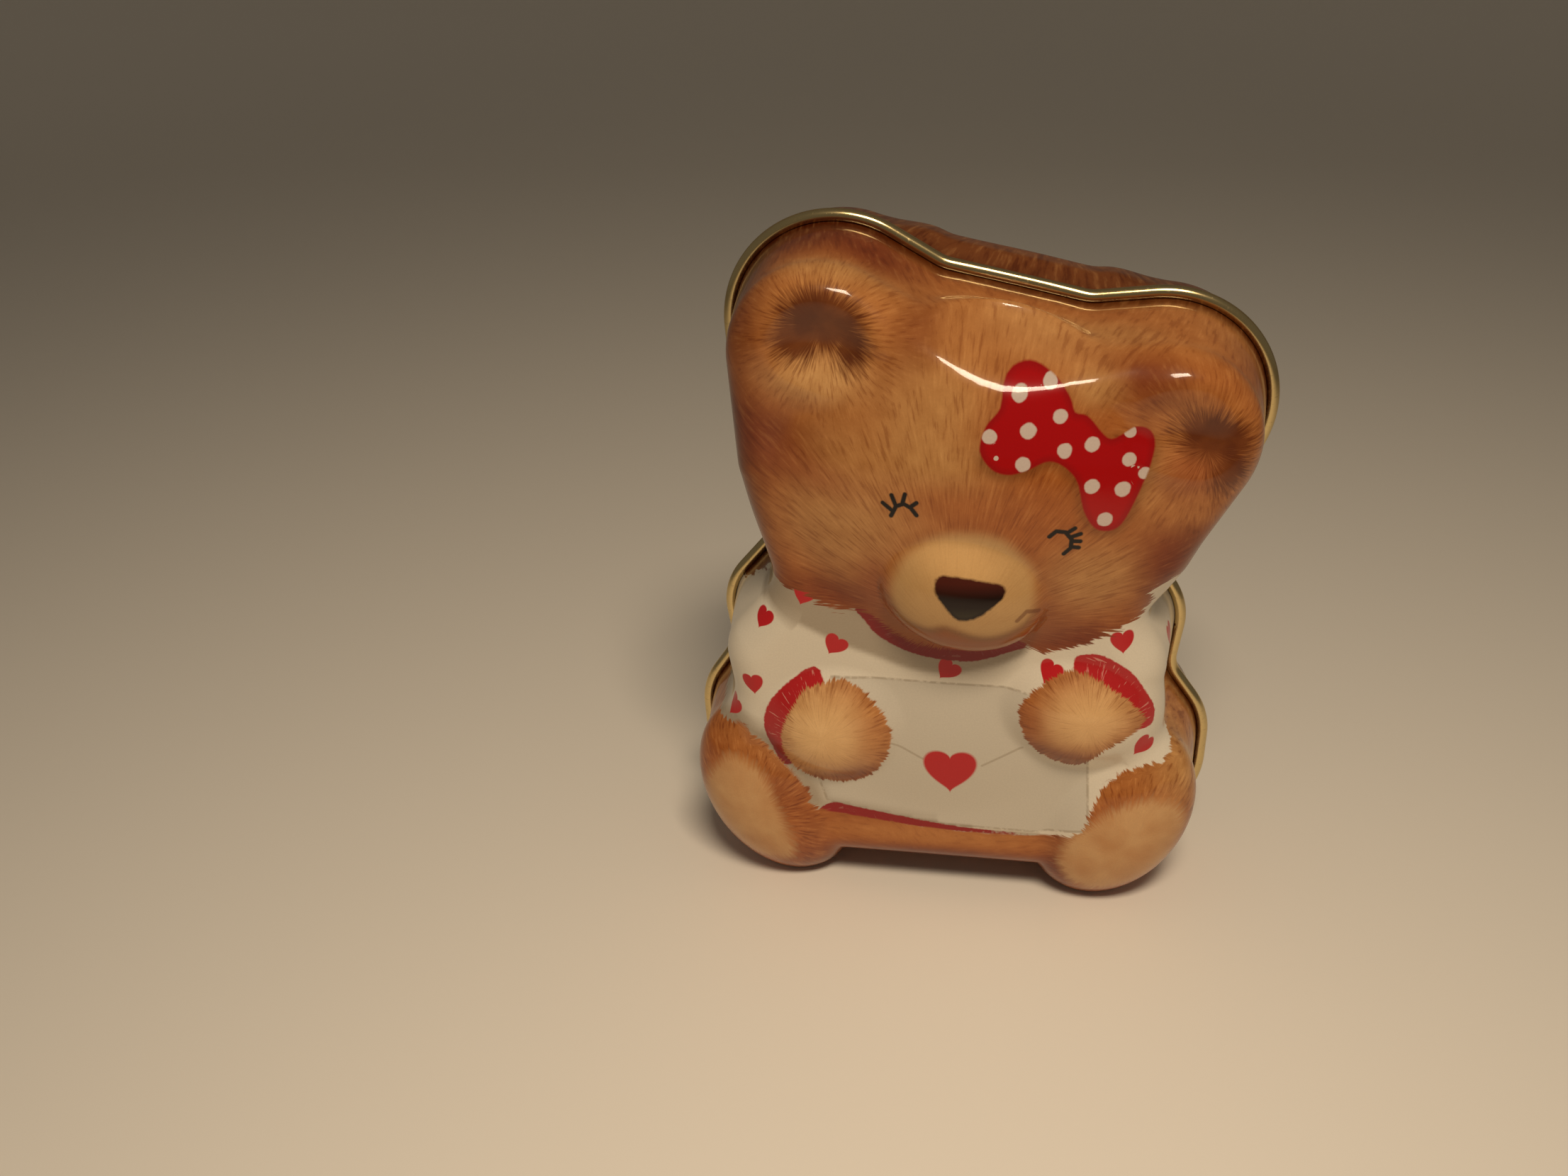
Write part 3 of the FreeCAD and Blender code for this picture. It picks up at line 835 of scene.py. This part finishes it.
def depth_inside(points, loop):
    """How far each point lies inside the loop, negative outside."""
    best = np.full(len(points), np.inf)
    for first, last in zip(loop, np.roll(loop, -1, 0)):
        run = last - first
        share = np.clip((points - first) @ run / (run @ run), 0, 1)
        gap = points - first - share[:, None] * run
        best = np.minimum(best, np.hypot(gap[:, 0], gap[:, 1]))
    return np.where(inside_polygon(points, loop), best, -best)


def deepest(points, shapes):
    """How far each point lies inside the nearest of several smooth shapes."""
    return np.max([depth_inside(points, smooth_loop(shape)) for shape in shapes], 0)


def patched(points, base, patches):
    """The base colour at each point with each soft patch laid over it in turn."""
    tone = np.tile(np.array(base), (len(points), 1))
    for *place, colour, strength in patches:
        across, up = in_ellipse(points, *place)
        share = strength * np.exp(-((across**2 + up**2) ** 1.3))
        tone += share[:, None] * (np.array(colour) - tone)
    return tone


def from_nearest(points, middles):
    """Each point's offset from the nearest middle, and which one that is."""
    gaps = points[:, None, :] - np.array(middles)[None, :, :2]
    nearest = np.argmin(np.hypot(gaps[:, :, 0], gaps[:, :, 1]), 1)
    return gaps[np.arange(len(points)), nearest], nearest


def heart_places(points, hearts):
    """Each point in the nearest heart's frame, and its distance, in half widths."""
    _, nearest = from_nearest(points, hearts)
    x, z, half, lean = np.array(hearts)[nearest].T
    across, up = turned(points, x, z, np.radians(lean))
    return np.column_stack([across, up, np.hypot(across, up)]) / half[:, None]


def dot_places(points):
    """Each point's offset and distance from the nearest dot, in the dot's radii."""
    offset, nearest = from_nearest(points, DOTS)
    radius = np.array(DOTS)[nearest][:, 2:3]
    return np.column_stack([offset, np.hypot(offset[:, 0], offset[:, 1])]) / radius


def rim_border_and_shade(tone, depth):
    """The print's dark border beside the rim, which also stands for painted shade under the curled rim;
    depth is the distance from the seam.
    """
    share = RIM_BORDER_AND_SHADE * (1 - smooth_step(depth, *RIM_REACH))
    return tone + share[:, None] * (np.array(UMBER) - tone)


def dish_depth(points):
    """How far inside the dark dish of an ear each point lies."""
    depths = []
    for dish in DISHES:
        depths.append((1 - np.hypot(*in_ellipse(points, *dish))) * min(dish[2:4]))
    return np.max(depths, 0)


def stroke_share(points):
    """1 where the fur's strokes run out from a part's middle, 0 where from the face's."""
    ears = np.min([np.hypot(points[:, 0] - x, points[:, 1] - z) for x, z in PARTS[:2]], 0)
    return np.where(points[:, 1] < SEAT, 1.0, 1 - smooth_step(ears, *EAR_REACH))


def below(points, low, high):
    """1 for points lower than low and 0 for those higher than high."""
    return smooth_step(-points[:, 1], -high, -low)


def on_strip(points):
    """Whether each point lies on the strip of fur between the legs."""
    return (np.abs(points[:, 0]) < STRIP_HALF) & (points[:, 1] < STRIP_TOP)


def front_tone(points, muzzle, bow):
    """The fur's ground colour: patches, the muzzle, painted shade in its crease, and painted shadow below
    the bow.
    """
    tone = patched(points, ORANGE, FUR_PATCHES)
    muzzle_tone = patched(points, MUZZLE_TONE, [MUZZLE_LIGHT])
    tone += smooth_step(muzzle, *MUZZLE_EDGE)[:, None] * (muzzle_tone - tone)
    # Painted shade in the crease round the muzzle's foot.
    crease = np.exp(-((muzzle / CREASE_HALF) ** 2)) * below(points, *CREASE_HEIGHTS)
    tone *= 1 - CREASE_SHADE_DARK * crease[:, None]
    shadow_below_bow = smooth_step(bow, -BOW_SHADOW, 0.0) * below(points, *BOW_SHADOW_HEIGHTS)
    return tone * (1 - BOW_SHADOW_DARK * shadow_below_bow[:, None])


def front_streak(points, muzzle, paws):
    """How strong the fur's strokes are at each point."""
    streak = HEAD_STREAK + BODY_STREAK * smooth_step(-paws, -3.5, -0.5) * (points[:, 1] < SEAT)
    streak *= 1 - PAW_LOSS * smooth_step(paws, 0.5, 4.0)
    streak *= 1 - STRIP_LOSS * on_strip(points)
    streak *= 1 - MUZZLE_LOSS * smooth_step(muzzle, -1.0, 1.0)
    x, z, half_x, half_z = CHIN_BLUSH
    blush = np.exp(-(((points[:, 0] - x) / half_x) ** 4) - ((points[:, 1] - z) / half_z) ** 4)
    return streak * (1 - BLUSH_LOSS * blush)


def front_rough(points, paws):
    """How far the strokes push the fur's edge in and out at each point, in mm."""
    rough = np.where(points[:, 1] > SEAT, HEAD_ROUGH, LEG_ROUGH)
    rough = np.where(paws > -PAW_NEAR, PAW_ROUGH, rough)
    return np.where(on_strip(points), STRIP_ROUGH, rough)


def front_shade(points):
    """Painted shade on the shirt: under the head, beside the left leg and on the hem."""
    head = smooth_step(deepest(points, [HEAD_SHADE]), -0.5, 0.9) * HEAD_SHADE_DARK
    left = (points[:, 0] < 0) * smooth_step(points[:, 1], *LEG_SHADE_HEIGHTS)
    leg = smooth_step(deepest(points, [LOWER_EDGE]), -4.0, -0.5) * LEG_SHADE_DARK * left
    hem = HEM_DARK * (deepest(points, [HEM]) > -0.4)
    return np.maximum(np.maximum(head, leg), hem)


def front_layout(points, depth):
    """The front's print at each point of the sheet, by attribute name; depth is its y."""
    zero = np.zeros(len(points))
    muzzle = deepest(points, [MUZZLE])
    bow = deepest(points, [BOW])
    nose = deepest(points, [NOSE])
    paws = deepest(points, [LEFT_PAW, RIGHT_PAW])
    fur = deepest(points, [HEAD_EDGE, LOWER_EDGE, LEFT_PAW, RIGHT_PAW])
    soles = deepest(points, [LEFT_SOLE, RIGHT_SOLE])
    red = deepest(points, [LEFT_CUFF, RIGHT_CUFF, COLLAR, HEM])
    envelope = depth_inside(points, np.array(ENVELOPE))
    streak = front_streak(points, muzzle, paws)
    offset, _ = from_nearest(points, PARTS)
    return {
        "fur_tone": (rim_border_and_shade(front_tone(points, muzzle, bow), -depth),),
        "cloth_depth": (fur, red, envelope),
        "face_depth": (bow, nose, zero + 1.0),
        "fur_depth": (dish_depth(points), soles, front_rough(points, paws)),
        "detail": (streak, front_shade(points), stroke_share(points)),
        "part_from": (offset, zero),
        "heart_at": (heart_places(points, HEARTS),),
        "dot_at": (dot_places(points),),
    }


def back_layout(points, depth):
    """The back's print, a guess in the front's style, by attribute name; depth is its y."""
    zero = np.zeros(len(points))
    far = zero - NOWHERE
    fur = deepest(points, [BACK_HEAD_EDGE, BACK_LOWER_EDGE])
    shade = smooth_step(fur, -3.0, 0.0) * BACK_SHADE_DARK
    return {
        "fur_tone": (rim_border_and_shade(patched(points, BACK_BROWN, BACK_PATCHES), depth),),
        "cloth_depth": (fur, far, far),
        "face_depth": (far, far, zero),
        "fur_depth": (far, far, zero + HEAD_ROUGH),
        "detail": (zero + BACK_STREAK, shade, zero),
        "part_from": (points - np.array(BACK_FROM), zero),
        "heart_at": (heart_places(points, BACK_HEARTS),),
        "dot_at": (-far, -far, -far),
    }


# ---- materials

SHIRT = (0.80, 0.705, 0.56)
SHIRT_SHADE = (0.30, 0.22, 0.14)
PAPER = (0.66, 0.585, 0.47)
PENCIL = (0.46, 0.38, 0.28)
HEART_RED = (0.55, 0.014, 0.018)
TRIM_RED = (0.50, 0.018, 0.020)
TRIM_GLINT = (0.75, 0.30, 0.24)
TRIM_SHADE = (0.16, 0.008, 0.008)
BOW_RED = (0.44, 0.002, 0.003)
BOW_RIM = (0.24, 0.004, 0.004)
DOT_WHITE = (0.68, 0.54, 0.46)
DISH_DARK = (0.11, 0.022, 0.005)
DISH_LIGHT = (0.18, 0.045, 0.010)
SOLE_CREAM = (0.70, 0.41, 0.18)
SOLE_TAN = (0.56, 0.27, 0.097)
NOSE_DARK = (0.012, 0.003, 0.001)
NOSE_TOP = (0.075, 0.012, 0.005)
NOSE_GLEAM = (0.030, 0.020, 0.009)
INK = (0.006, 0.003, 0.002)
GOLD = (0.74, 0.56, 0.26)
GOLD_CLOUD = (0.62, 0.48, 0.24)
GOLD_SCUFF = (0.36, 0.27, 0.15)
# What the blotches, dark strokes and light strokes multiply the fur's colour by.
BLOTCH_TINT = (0.76, 0.66, 0.56)
DARK_TINT = (0.52, 0.34, 0.26)
LIGHT_TINT = (1.45, 1.55, 1.7)
# Values of the noise between which dark and light strokes set in.
DARK_STROKES = (0.54, 0.66)
LIGHT_STROKES = (0.46, 0.30)
# The strokes' fineness around their middle, and their length.
FACE_STROKES = (66, 3.6)
PART_STROKES = (26, 2.6)
# How ragged the strokes make the edges of the soles and of the ears' dishes.
SOLE_ROUGH = 4
DISH_ROUGH = 5
HEART_LOBES = 0.75
HEART_HEIGHT = 0.84
NOSE_TOP_FROM = (67.6, 70)
NOSE_GLEAM_FROM = (66.2, 64.8)
EYE_HALF = 0.36
FLAP_HALF = 0.2
MOUTH_HALF = 0.35
STROKE_SOFT = 0.1

# Lines as x, z of both ends: the closed eyes, the envelope's flap and the mouth's corner.
EYE_STROKES = [
    (-6.8, 79.8, -6, 81.5), (-6, 81.5, -4.8, 82), (-4.8, 82, -3.7, 81.4), (-3.7, 81.4, -2.8, 80.2),
    (-6.5, 80.6, -8.1, 81.9), (-6, 81.5, -6.7, 83.3), (-5, 82, -4.6, 83.6), (-3.8, 81.5, -2.8, 82.3),
    (17.6, 77.1, 18.6, 78), (18.6, 78, 20, 77.8), (20, 77.8, 21, 76.5), (21, 76.5, 20.9, 75),
    (20.9, 75, 19.9, 74), (20.2, 77.6, 21.4, 78.4), (20.8, 76.9, 22.3, 77.4), (21, 76.2, 22.3, 76.1),
    (21, 75.2, 22.1, 75),
]
FLAP_STROKES = [(-7.7, 34, -2.4, 30.9), (7.8, 30.1, 14.6, 34.4)]
MOUTH_STROKES = [(13.2, 63.2, 14.6, 64.6), (14.6, 64.6, 16.4, 64.1)]


class Signal:
    """A node's output; its sums, differences and products are nodes too."""

    def __init__(self, shader, socket):
        self.shader = shader
        self.socket = socket

    def __add__(self, other):
        return self.shader.math("ADD", self, other)

    def __sub__(self, other):
        return self.shader.math("SUBTRACT", self, other)

    def __rsub__(self, other):
        return self.shader.math("SUBTRACT", other, self)

    def __mul__(self, other):
        return self.shader.math("MULTIPLY", self, other)


class Shader:
    """Short calls that build one material's nodes from signals or plain values."""

    def __init__(self, name):
        self.material = bpy.data.materials.new(name)
        self.material.use_nodes = True
        self.nodes = self.material.node_tree.nodes
        self.links = self.material.node_tree.links
        self.surface = self.nodes["Principled BSDF"].inputs

    def feed(self, socket, value):
        """Link a signal to a socket, or set its plain value."""
        if isinstance(value, Signal):
            self.links.new(value.socket, socket)
        elif isinstance(value, tuple) and len(socket.default_value) == 4:
            socket.default_value = (*value, 1.0)
        else:
            socket.default_value = value

    def node(self, kind, inputs, output=0, **settings):
        """Add a node with settings and inputs, and return one of its outputs."""
        node = self.nodes.new("ShaderNode" + kind)
        for name, value in settings.items():
            setattr(node, name, value)
        for name, value in inputs.items():
            self.feed(node.inputs[name], value)
        return Signal(self, node.outputs[output])

    def attribute(self, name):
        """The vector or colour that the mesh carries under a name."""
        output = "Color" if name == "fur_tone" else "Vector"
        return self.node("Attribute", {}, output, attribute_name=name)

    def parts(self, vector):
        """The three components of a vector."""
        node = self.node("SeparateXYZ", {0: vector}).socket.node
        return [Signal(self, output) for output in node.outputs]

    def math(self, operation, a, b=0.0):
        """One scalar operation."""
        return self.node("Math", {0: a, 1: b}, operation=operation)

    def vector(self, operation, a, b=(0.0, 0.0, 0.0)):
        """One vector operation; SCALE takes its factor in place of b."""
        second = "Scale" if operation == "SCALE" else 1
        output = "Value" if operation in ("LENGTH", "DOT_PRODUCT") else "Vector"
        return self.node("VectorMath", {0: a, second: b}, output, operation=operation)

    def mix(self, share, a, b):
        """Colour a turning into colour b as share goes from 0 to 1."""
        return self.node("Mix", {"Factor": share, "A": a, "B": b}, "Result", data_type="RGBA")

    def noise(self, place, scale, detail=2.0):
        """Smooth noise between 0 and 1."""
        return self.node("TexNoise", {"Scale": scale, "Detail": detail, "Vector": place})

    def span(self, value, low, high):
        """0 below low and 1 above high, straight between."""
        return self.node("MapRange", {"Value": value, "From Min": low, "From Max": high})

    def strokes(self, at, ends, half_width):
        """1 on any of the strokes, with a soft edge."""
        nearest = 100.0
        for x0, z0, x1, z1 in ends:
            run = Vector((x1 - x0, z1 - z0, 0.0))
            start = self.vector("SUBTRACT", at, (x0, z0, 0.0))
            share = self.vector("DOT_PRODUCT", start, tuple(run / run.length_squared))
            share = self.math("MAXIMUM", self.math("MINIMUM", share, 1.0), 0.0)
            gap = self.vector("SUBTRACT", start, self.vector("SCALE", tuple(run), share))
            nearest = self.math("MINIMUM", self.vector("LENGTH", gap), nearest)
        return 1.0 - self.span(nearest, half_width - STROKE_SOFT, half_width + STROKE_SOFT)

    def streaks(self, offset, fineness, length):
        """Noise drawn out into strokes that run away from where the offset is zero."""
        way = self.vector("SCALE", self.vector("NORMALIZE", offset), fineness)
        distance = self.math("DIVIDE", self.vector("LENGTH", offset), length)
        run = self.vector("SCALE", (0.0, 0.0, 1.0), distance)
        return self.noise(self.vector("ADD", way, run), 1.0, 3.0)


def heart_share(shader, place):
    """1 inside a heart of half width 1 around the origin of the place."""
    across, up, far = shader.parts(place)
    lobes = shader.math("SQRT", shader.math("ABSOLUTE", across)) * HEART_LOBES
    rise = shader.math("DIVIDE", up, HEART_HEIGHT) - lobes
    radius = across * across + rise * rise
    return (1.0 - shader.span(radius, 0.86, 1.06)) * shader.math("LESS_THAN", far, 1.5)


def dot_share(shader, at):
    """1 inside the nearest dot, with a slightly uneven edge."""
    place = shader.attribute("dot_at")
    _, _, far = shader.parts(place)
    flat = shader.vector("MULTIPLY", place, (1.0, 1.0, 0.0))
    edge = shader.vector("LENGTH", flat) + shader.noise(at, 0.8) * 0.3
    return (1.0 - shader.span(edge, 1.02, 1.20)) * shader.math("LESS_THAN", far, 1.3)


def fur_colour(shader, at, stroke):
    """The painted fur: ground, strokes, the ears' dishes and the soles."""
    streak, _, _ = shader.parts(shader.attribute("detail"))
    dish, sole, _ = shader.parts(shader.attribute("fur_depth"))
    blotch = shader.span(shader.noise(at, 0.30, 3.0), 0.35, 0.65) * streak
    ground = shader.attribute("fur_tone")
    ground = shader.mix(blotch, ground, shader.vector("MULTIPLY", ground, BLOTCH_TINT))
    dark = shader.span(stroke, *DARK_STROKES) * streak
    light = shader.span(stroke, *LIGHT_STROKES) * streak
    colour = shader.mix(dark * 0.85, ground, shader.vector("MULTIPLY", ground, DARK_TINT))
    bright = shader.mix(0.35, shader.vector("MULTIPLY", ground, LIGHT_TINT), WARM)
    colour = shader.mix(light * 0.7, colour, bright)
    ragged = sole + (stroke - 0.5) * SOLE_ROUGH
    sole_tone = shader.mix(shader.span(shader.noise(at, 0.16), 0.35, 0.75), SOLE_CREAM, SOLE_TAN)
    colour = shader.mix(shader.span(ragged, -0.8, 1.3) * 0.85, colour, sole_tone)
    ragged = dish + (stroke - 0.5) * DISH_ROUGH
    dish_tone = shader.mix(shader.span(shader.noise(at, 0.22), 0.35, 0.6), DISH_LIGHT, DISH_DARK)
    return shader.mix(shader.span(ragged, -1.0, 1.6) * 0.92, colour, dish_tone)


def cloth_colour(shader, at, stroke):
    """The shirt with hearts, the envelope with pencil lines, and the red trim, with painted glints on the
    trim and painted shade on the shirt and trim.
    """
    _, shade, _ = shader.parts(shader.attribute("detail"))
    _, red, envelope = shader.parts(shader.attribute("cloth_depth"))
    _, _, drawn = shader.parts(shader.attribute("face_depth"))
    colour = shader.mix(shader.span(envelope, -0.12, 0.12), SHIRT, PAPER)
    outline = 1.0 - shader.span(shader.math("ABSOLUTE", envelope), 0.1, 0.32)
    broken = shader.span(shader.noise(at, 0.9), 0.3, 0.5)
    colour = shader.mix(outline * broken * 0.8, colour, PENCIL)
    flap = shader.strokes(at, FLAP_STROKES, FLAP_HALF) * (drawn * 0.75)
    colour = shader.mix(flap, colour, PENCIL)
    colour = shader.mix(shade, colour, SHIRT_SHADE)
    colour = shader.mix(heart_share(shader, shader.attribute("heart_at")), colour, HEART_RED)
    # Painted glints on the trim.
    glint = shader.span(stroke, 0.60, 0.66) * shader.span(red, 0.5, 0.8)
    trim = shader.mix(glint * 0.8, TRIM_RED, TRIM_GLINT)
    # Painted shade darkens the trim wherever the shirt is shaded.
    trim = shader.mix(shade, trim, TRIM_SHADE)
    wobble = (shader.noise(at, 1.4) - 0.5) * 0.5
    return shader.mix(shader.span(red + wobble, -0.12, 0.12), colour, trim)


def face_colour(shader, at, colour):
    """The bow with dots, the nose with a painted gleam, the mouth's corner and the closed eyes."""
    bow, nose, drawn = shader.parts(shader.attribute("face_depth"))
    _, height, _ = shader.parts(at)
    rim = 1.0 - shader.span(bow, 0.2, 1.2)
    red = shader.mix(rim * 0.45, BOW_RED, BOW_RIM)
    red = shader.mix(dot_share(shader, at), red, DOT_WHITE)
    colour = shader.mix(shader.span(bow, -0.15, 0.15), colour, red)
    black = shader.mix(shader.span(height, *NOSE_TOP_FROM), NOSE_DARK, NOSE_TOP)
    gleam = shader.span(height, *NOSE_GLEAM_FROM) * shader.span(nose, 0.2, 0.8)
    black = shader.mix(gleam, black, NOSE_GLEAM)
    soft = nose + (shader.noise(at, 0.9) - 0.5) * 0.6
    colour = shader.mix(shader.span(soft, -0.2, 0.25), colour, black)
    mouth = shader.strokes(at, MOUTH_STROKES, MOUTH_HALF) * (drawn * 0.6)
    colour = shader.mix(mouth, colour, BROWN)
    return shader.mix(shader.strokes(at, EYE_STROKES, EYE_HALF) * drawn, colour, INK)


def add_print_surface(shader, at, colour):
    """The varnish: a thin clear coat on the slightly uneven sheet."""
    bump = shader.node("Bump", {"Strength": 0.05, "Distance": 0.0004, "Height": shader.noise(at, 0.3, 1.0)})
    surface = {
        "Base Color": colour,
        "Roughness": shader.noise(at, 0.12, 3.0) * 0.16 + 0.26,
        "Specular IOR Level": 0.08,
        "Coat Weight": 0.6,
        "Coat Roughness": 0.07,
        "Normal": bump,
        "Coat Normal": bump,
    }
    for name, value in surface.items():
        shader.feed(shader.surface[name], value)


def print_material(name):
    """Printed and varnished tinplate, painted from the sheet's attributes."""
    shader = Shader(name)
    at = shader.attribute("printed_at")
    _, _, share = shader.parts(shader.attribute("detail"))
    face = shader.streaks(shader.vector("SUBTRACT", at, (*FACE_FROM, 0.0)), *FACE_STROKES)
    part = shader.streaks(shader.attribute("part_from"), *PART_STROKES)
    stroke = shader.node("Mix", {0: share, 2: face, 3: part})
    fur, red, _ = shader.parts(shader.attribute("cloth_depth"))
    _, _, rough = shader.parts(shader.attribute("fur_depth"))
    held = shader.span(red, -0.4, 0.4) * 0.1
    ragged = fur + (stroke - 0.5) * rough - held
    cloth = cloth_colour(shader, at, stroke)
    colour = shader.mix(shader.span(ragged, -0.15, 0.2), cloth, fur_colour(shader, at, stroke))
    colour = face_colour(shader, at, colour)
    grain = shader.span(shader.noise(at, 3.2, 1.0), 0.2, 0.8) * 0.14
    add_print_surface(shader, at, shader.mix(grain, colour, shader.vector("SCALE", colour, 0.45)))
    return shader.material


def gold_material():
    """Gold-lacquered tinplate, a little uneven, as on the curled rim and inside."""
    shader = Shader("gold_lacquer")
    at = shader.attribute("printed_at")
    scuff = shader.span(shader.noise(at, 1.3, 4.0), 0.58, 0.75)
    colour = shader.mix(shader.noise(at, 0.15, 3.0), GOLD, GOLD_CLOUD)
    shader.feed(shader.surface["Base Color"], shader.mix(scuff * 0.35, colour, GOLD_SCUFF))
    shader.feed(shader.surface["Metallic"], 1.0)
    shader.feed(shader.surface["Roughness"], scuff * 0.15 + 0.2)
    return shader.material


def floor_material():
    """Plain matt paint."""
    shader = Shader("floor_paint")
    shader.feed(shader.surface["Base Color"], FLOOR_PAINT)
    shader.feed(shader.surface["Roughness"], 0.6)
    return shader.material


# ---- stage, light and camera

# The floor and its backdrop, in metres.
FLOOR_HALF = 2
FLOOR_FRONT = -1.5
CURVE_FROM = 0.55
CURVE_RADIUS = 0.4
BACKDROP_TOP = 1.6
FLOOR_PAINT = (0.86, 0.79, 0.69)

# The key light, in metres of the row frame and in watts.
KEY_AT = (0.10, -0.32, 0.58)
KEY_AIM = (0, -0.12, 0.02)
KEY_SIZE = (0.20, 0.12)
KEY_POWER = 0.57
KEY_COLOUR = (1, 0.84, 0.64)
KEY_SPREAD = 80
WORLD_COLOUR = (1, 0.9, 0.76, 1)
WORLD_STRENGTH = 0.12

CAMERA_AT = (19.3, -229.4, 181.4)
CAMERA_HEADING = 12.2
CAMERA_TILT = -29.13
CAMERA_ROLL = -3.25
SENSOR_WIDTH = 36
FOCAL_LENGTH = 33.479


def make_floor():
    """A pale table top that curves up behind into a plain backdrop."""
    mesh = bpy.data.meshes.new("floor")
    side_view = [(FLOOR_FRONT, 0.0), (CURVE_FROM, 0.0)]
    for turn in np.radians(range(10, 91, 10)):
        rise = CURVE_RADIUS - CURVE_RADIUS * math.cos(turn)
        side_view.append((CURVE_FROM + CURVE_RADIUS * math.sin(turn), rise))
    side_view.append((CURVE_FROM + CURVE_RADIUS, BACKDROP_TOP))
    points = [(side * FLOOR_HALF, y, z) for y, z in side_view for side in (-1, 1)]
    faces = [(2 * i, 2 * i + 1, 2 * i + 3, 2 * i + 2) for i in range(len(side_view) - 1)]
    mesh.from_pydata(points, [], faces)
    mesh.polygons.foreach_set("use_smooth", [True] * len(faces))
    mesh.materials.append(floor_material())
    floor = add_object("floor", mesh)


def make_world():
    """Even warm light from all round, and plain colour management."""
    world = bpy.data.worlds.new("studio")
    world.use_nodes = True
    background = world.node_tree.nodes["Background"]
    background.inputs["Color"].default_value = WORLD_COLOUR
    background.inputs["Strength"].default_value = WORLD_STRENGTH
    bpy.context.scene.world = world
    bpy.context.scene.view_settings.view_transform = "Standard"


def make_key_light():
    """A soft rectangular light in front of and above the bear."""
    data = bpy.data.lights.new("key", "AREA")
    data.shape = "RECTANGLE"
    data.size, data.size_y = KEY_SIZE
    data.energy = KEY_POWER
    data.color = KEY_COLOUR
    data.spread = math.radians(KEY_SPREAD)
    light = add_object("key", data)
    light.location = KEY_AT
    light.rotation_euler = (Vector(KEY_AIM) - Vector(KEY_AT)).to_track_quat("-Z", "Y").to_euler()


def make_camera():
    """The camera at the reference view's place."""
    data = bpy.data.cameras.new("camera")
    data.sensor_width = SENSOR_WIDTH
    data.lens = FOCAL_LENGTH
    camera = add_object("camera", data)
    camera.location = Vector(CAMERA_AT) * MM + SHIFT
    heading = Euler((0, 0, math.radians(CAMERA_HEADING))).to_quaternion()
    tilt = Euler((math.radians(90 + CAMERA_TILT), 0, 0)).to_quaternion()
    roll = Euler((0, 0, math.radians(CAMERA_ROLL))).to_quaternion()
    camera.rotation_mode = "QUATERNION"
    camera.rotation_quaternion = heading @ tilt @ roll
    bpy.context.scene.camera = camera


def main():
    """Build the pieces, the stage, the light and the camera."""
    gold = gold_material()
    printed = print_material("printed_tin")
    sheet, edges = make_half(front_profile(), front_relief, -1)
    front = thickened(sheet, edges)
    make_piece("front_pressing", front, front_layout, [printed, gold], "front_shell", "front")
    sheet, edges = make_half(back_profile(), back_relief, 1, slot_outline())
    back = thickened(sheet, edges)
    make_piece("back_pressing", back, back_layout, [printed, gold], "back_shell", "back")
    make_floor()
    make_world()
    make_key_light()
    make_camera()


main()
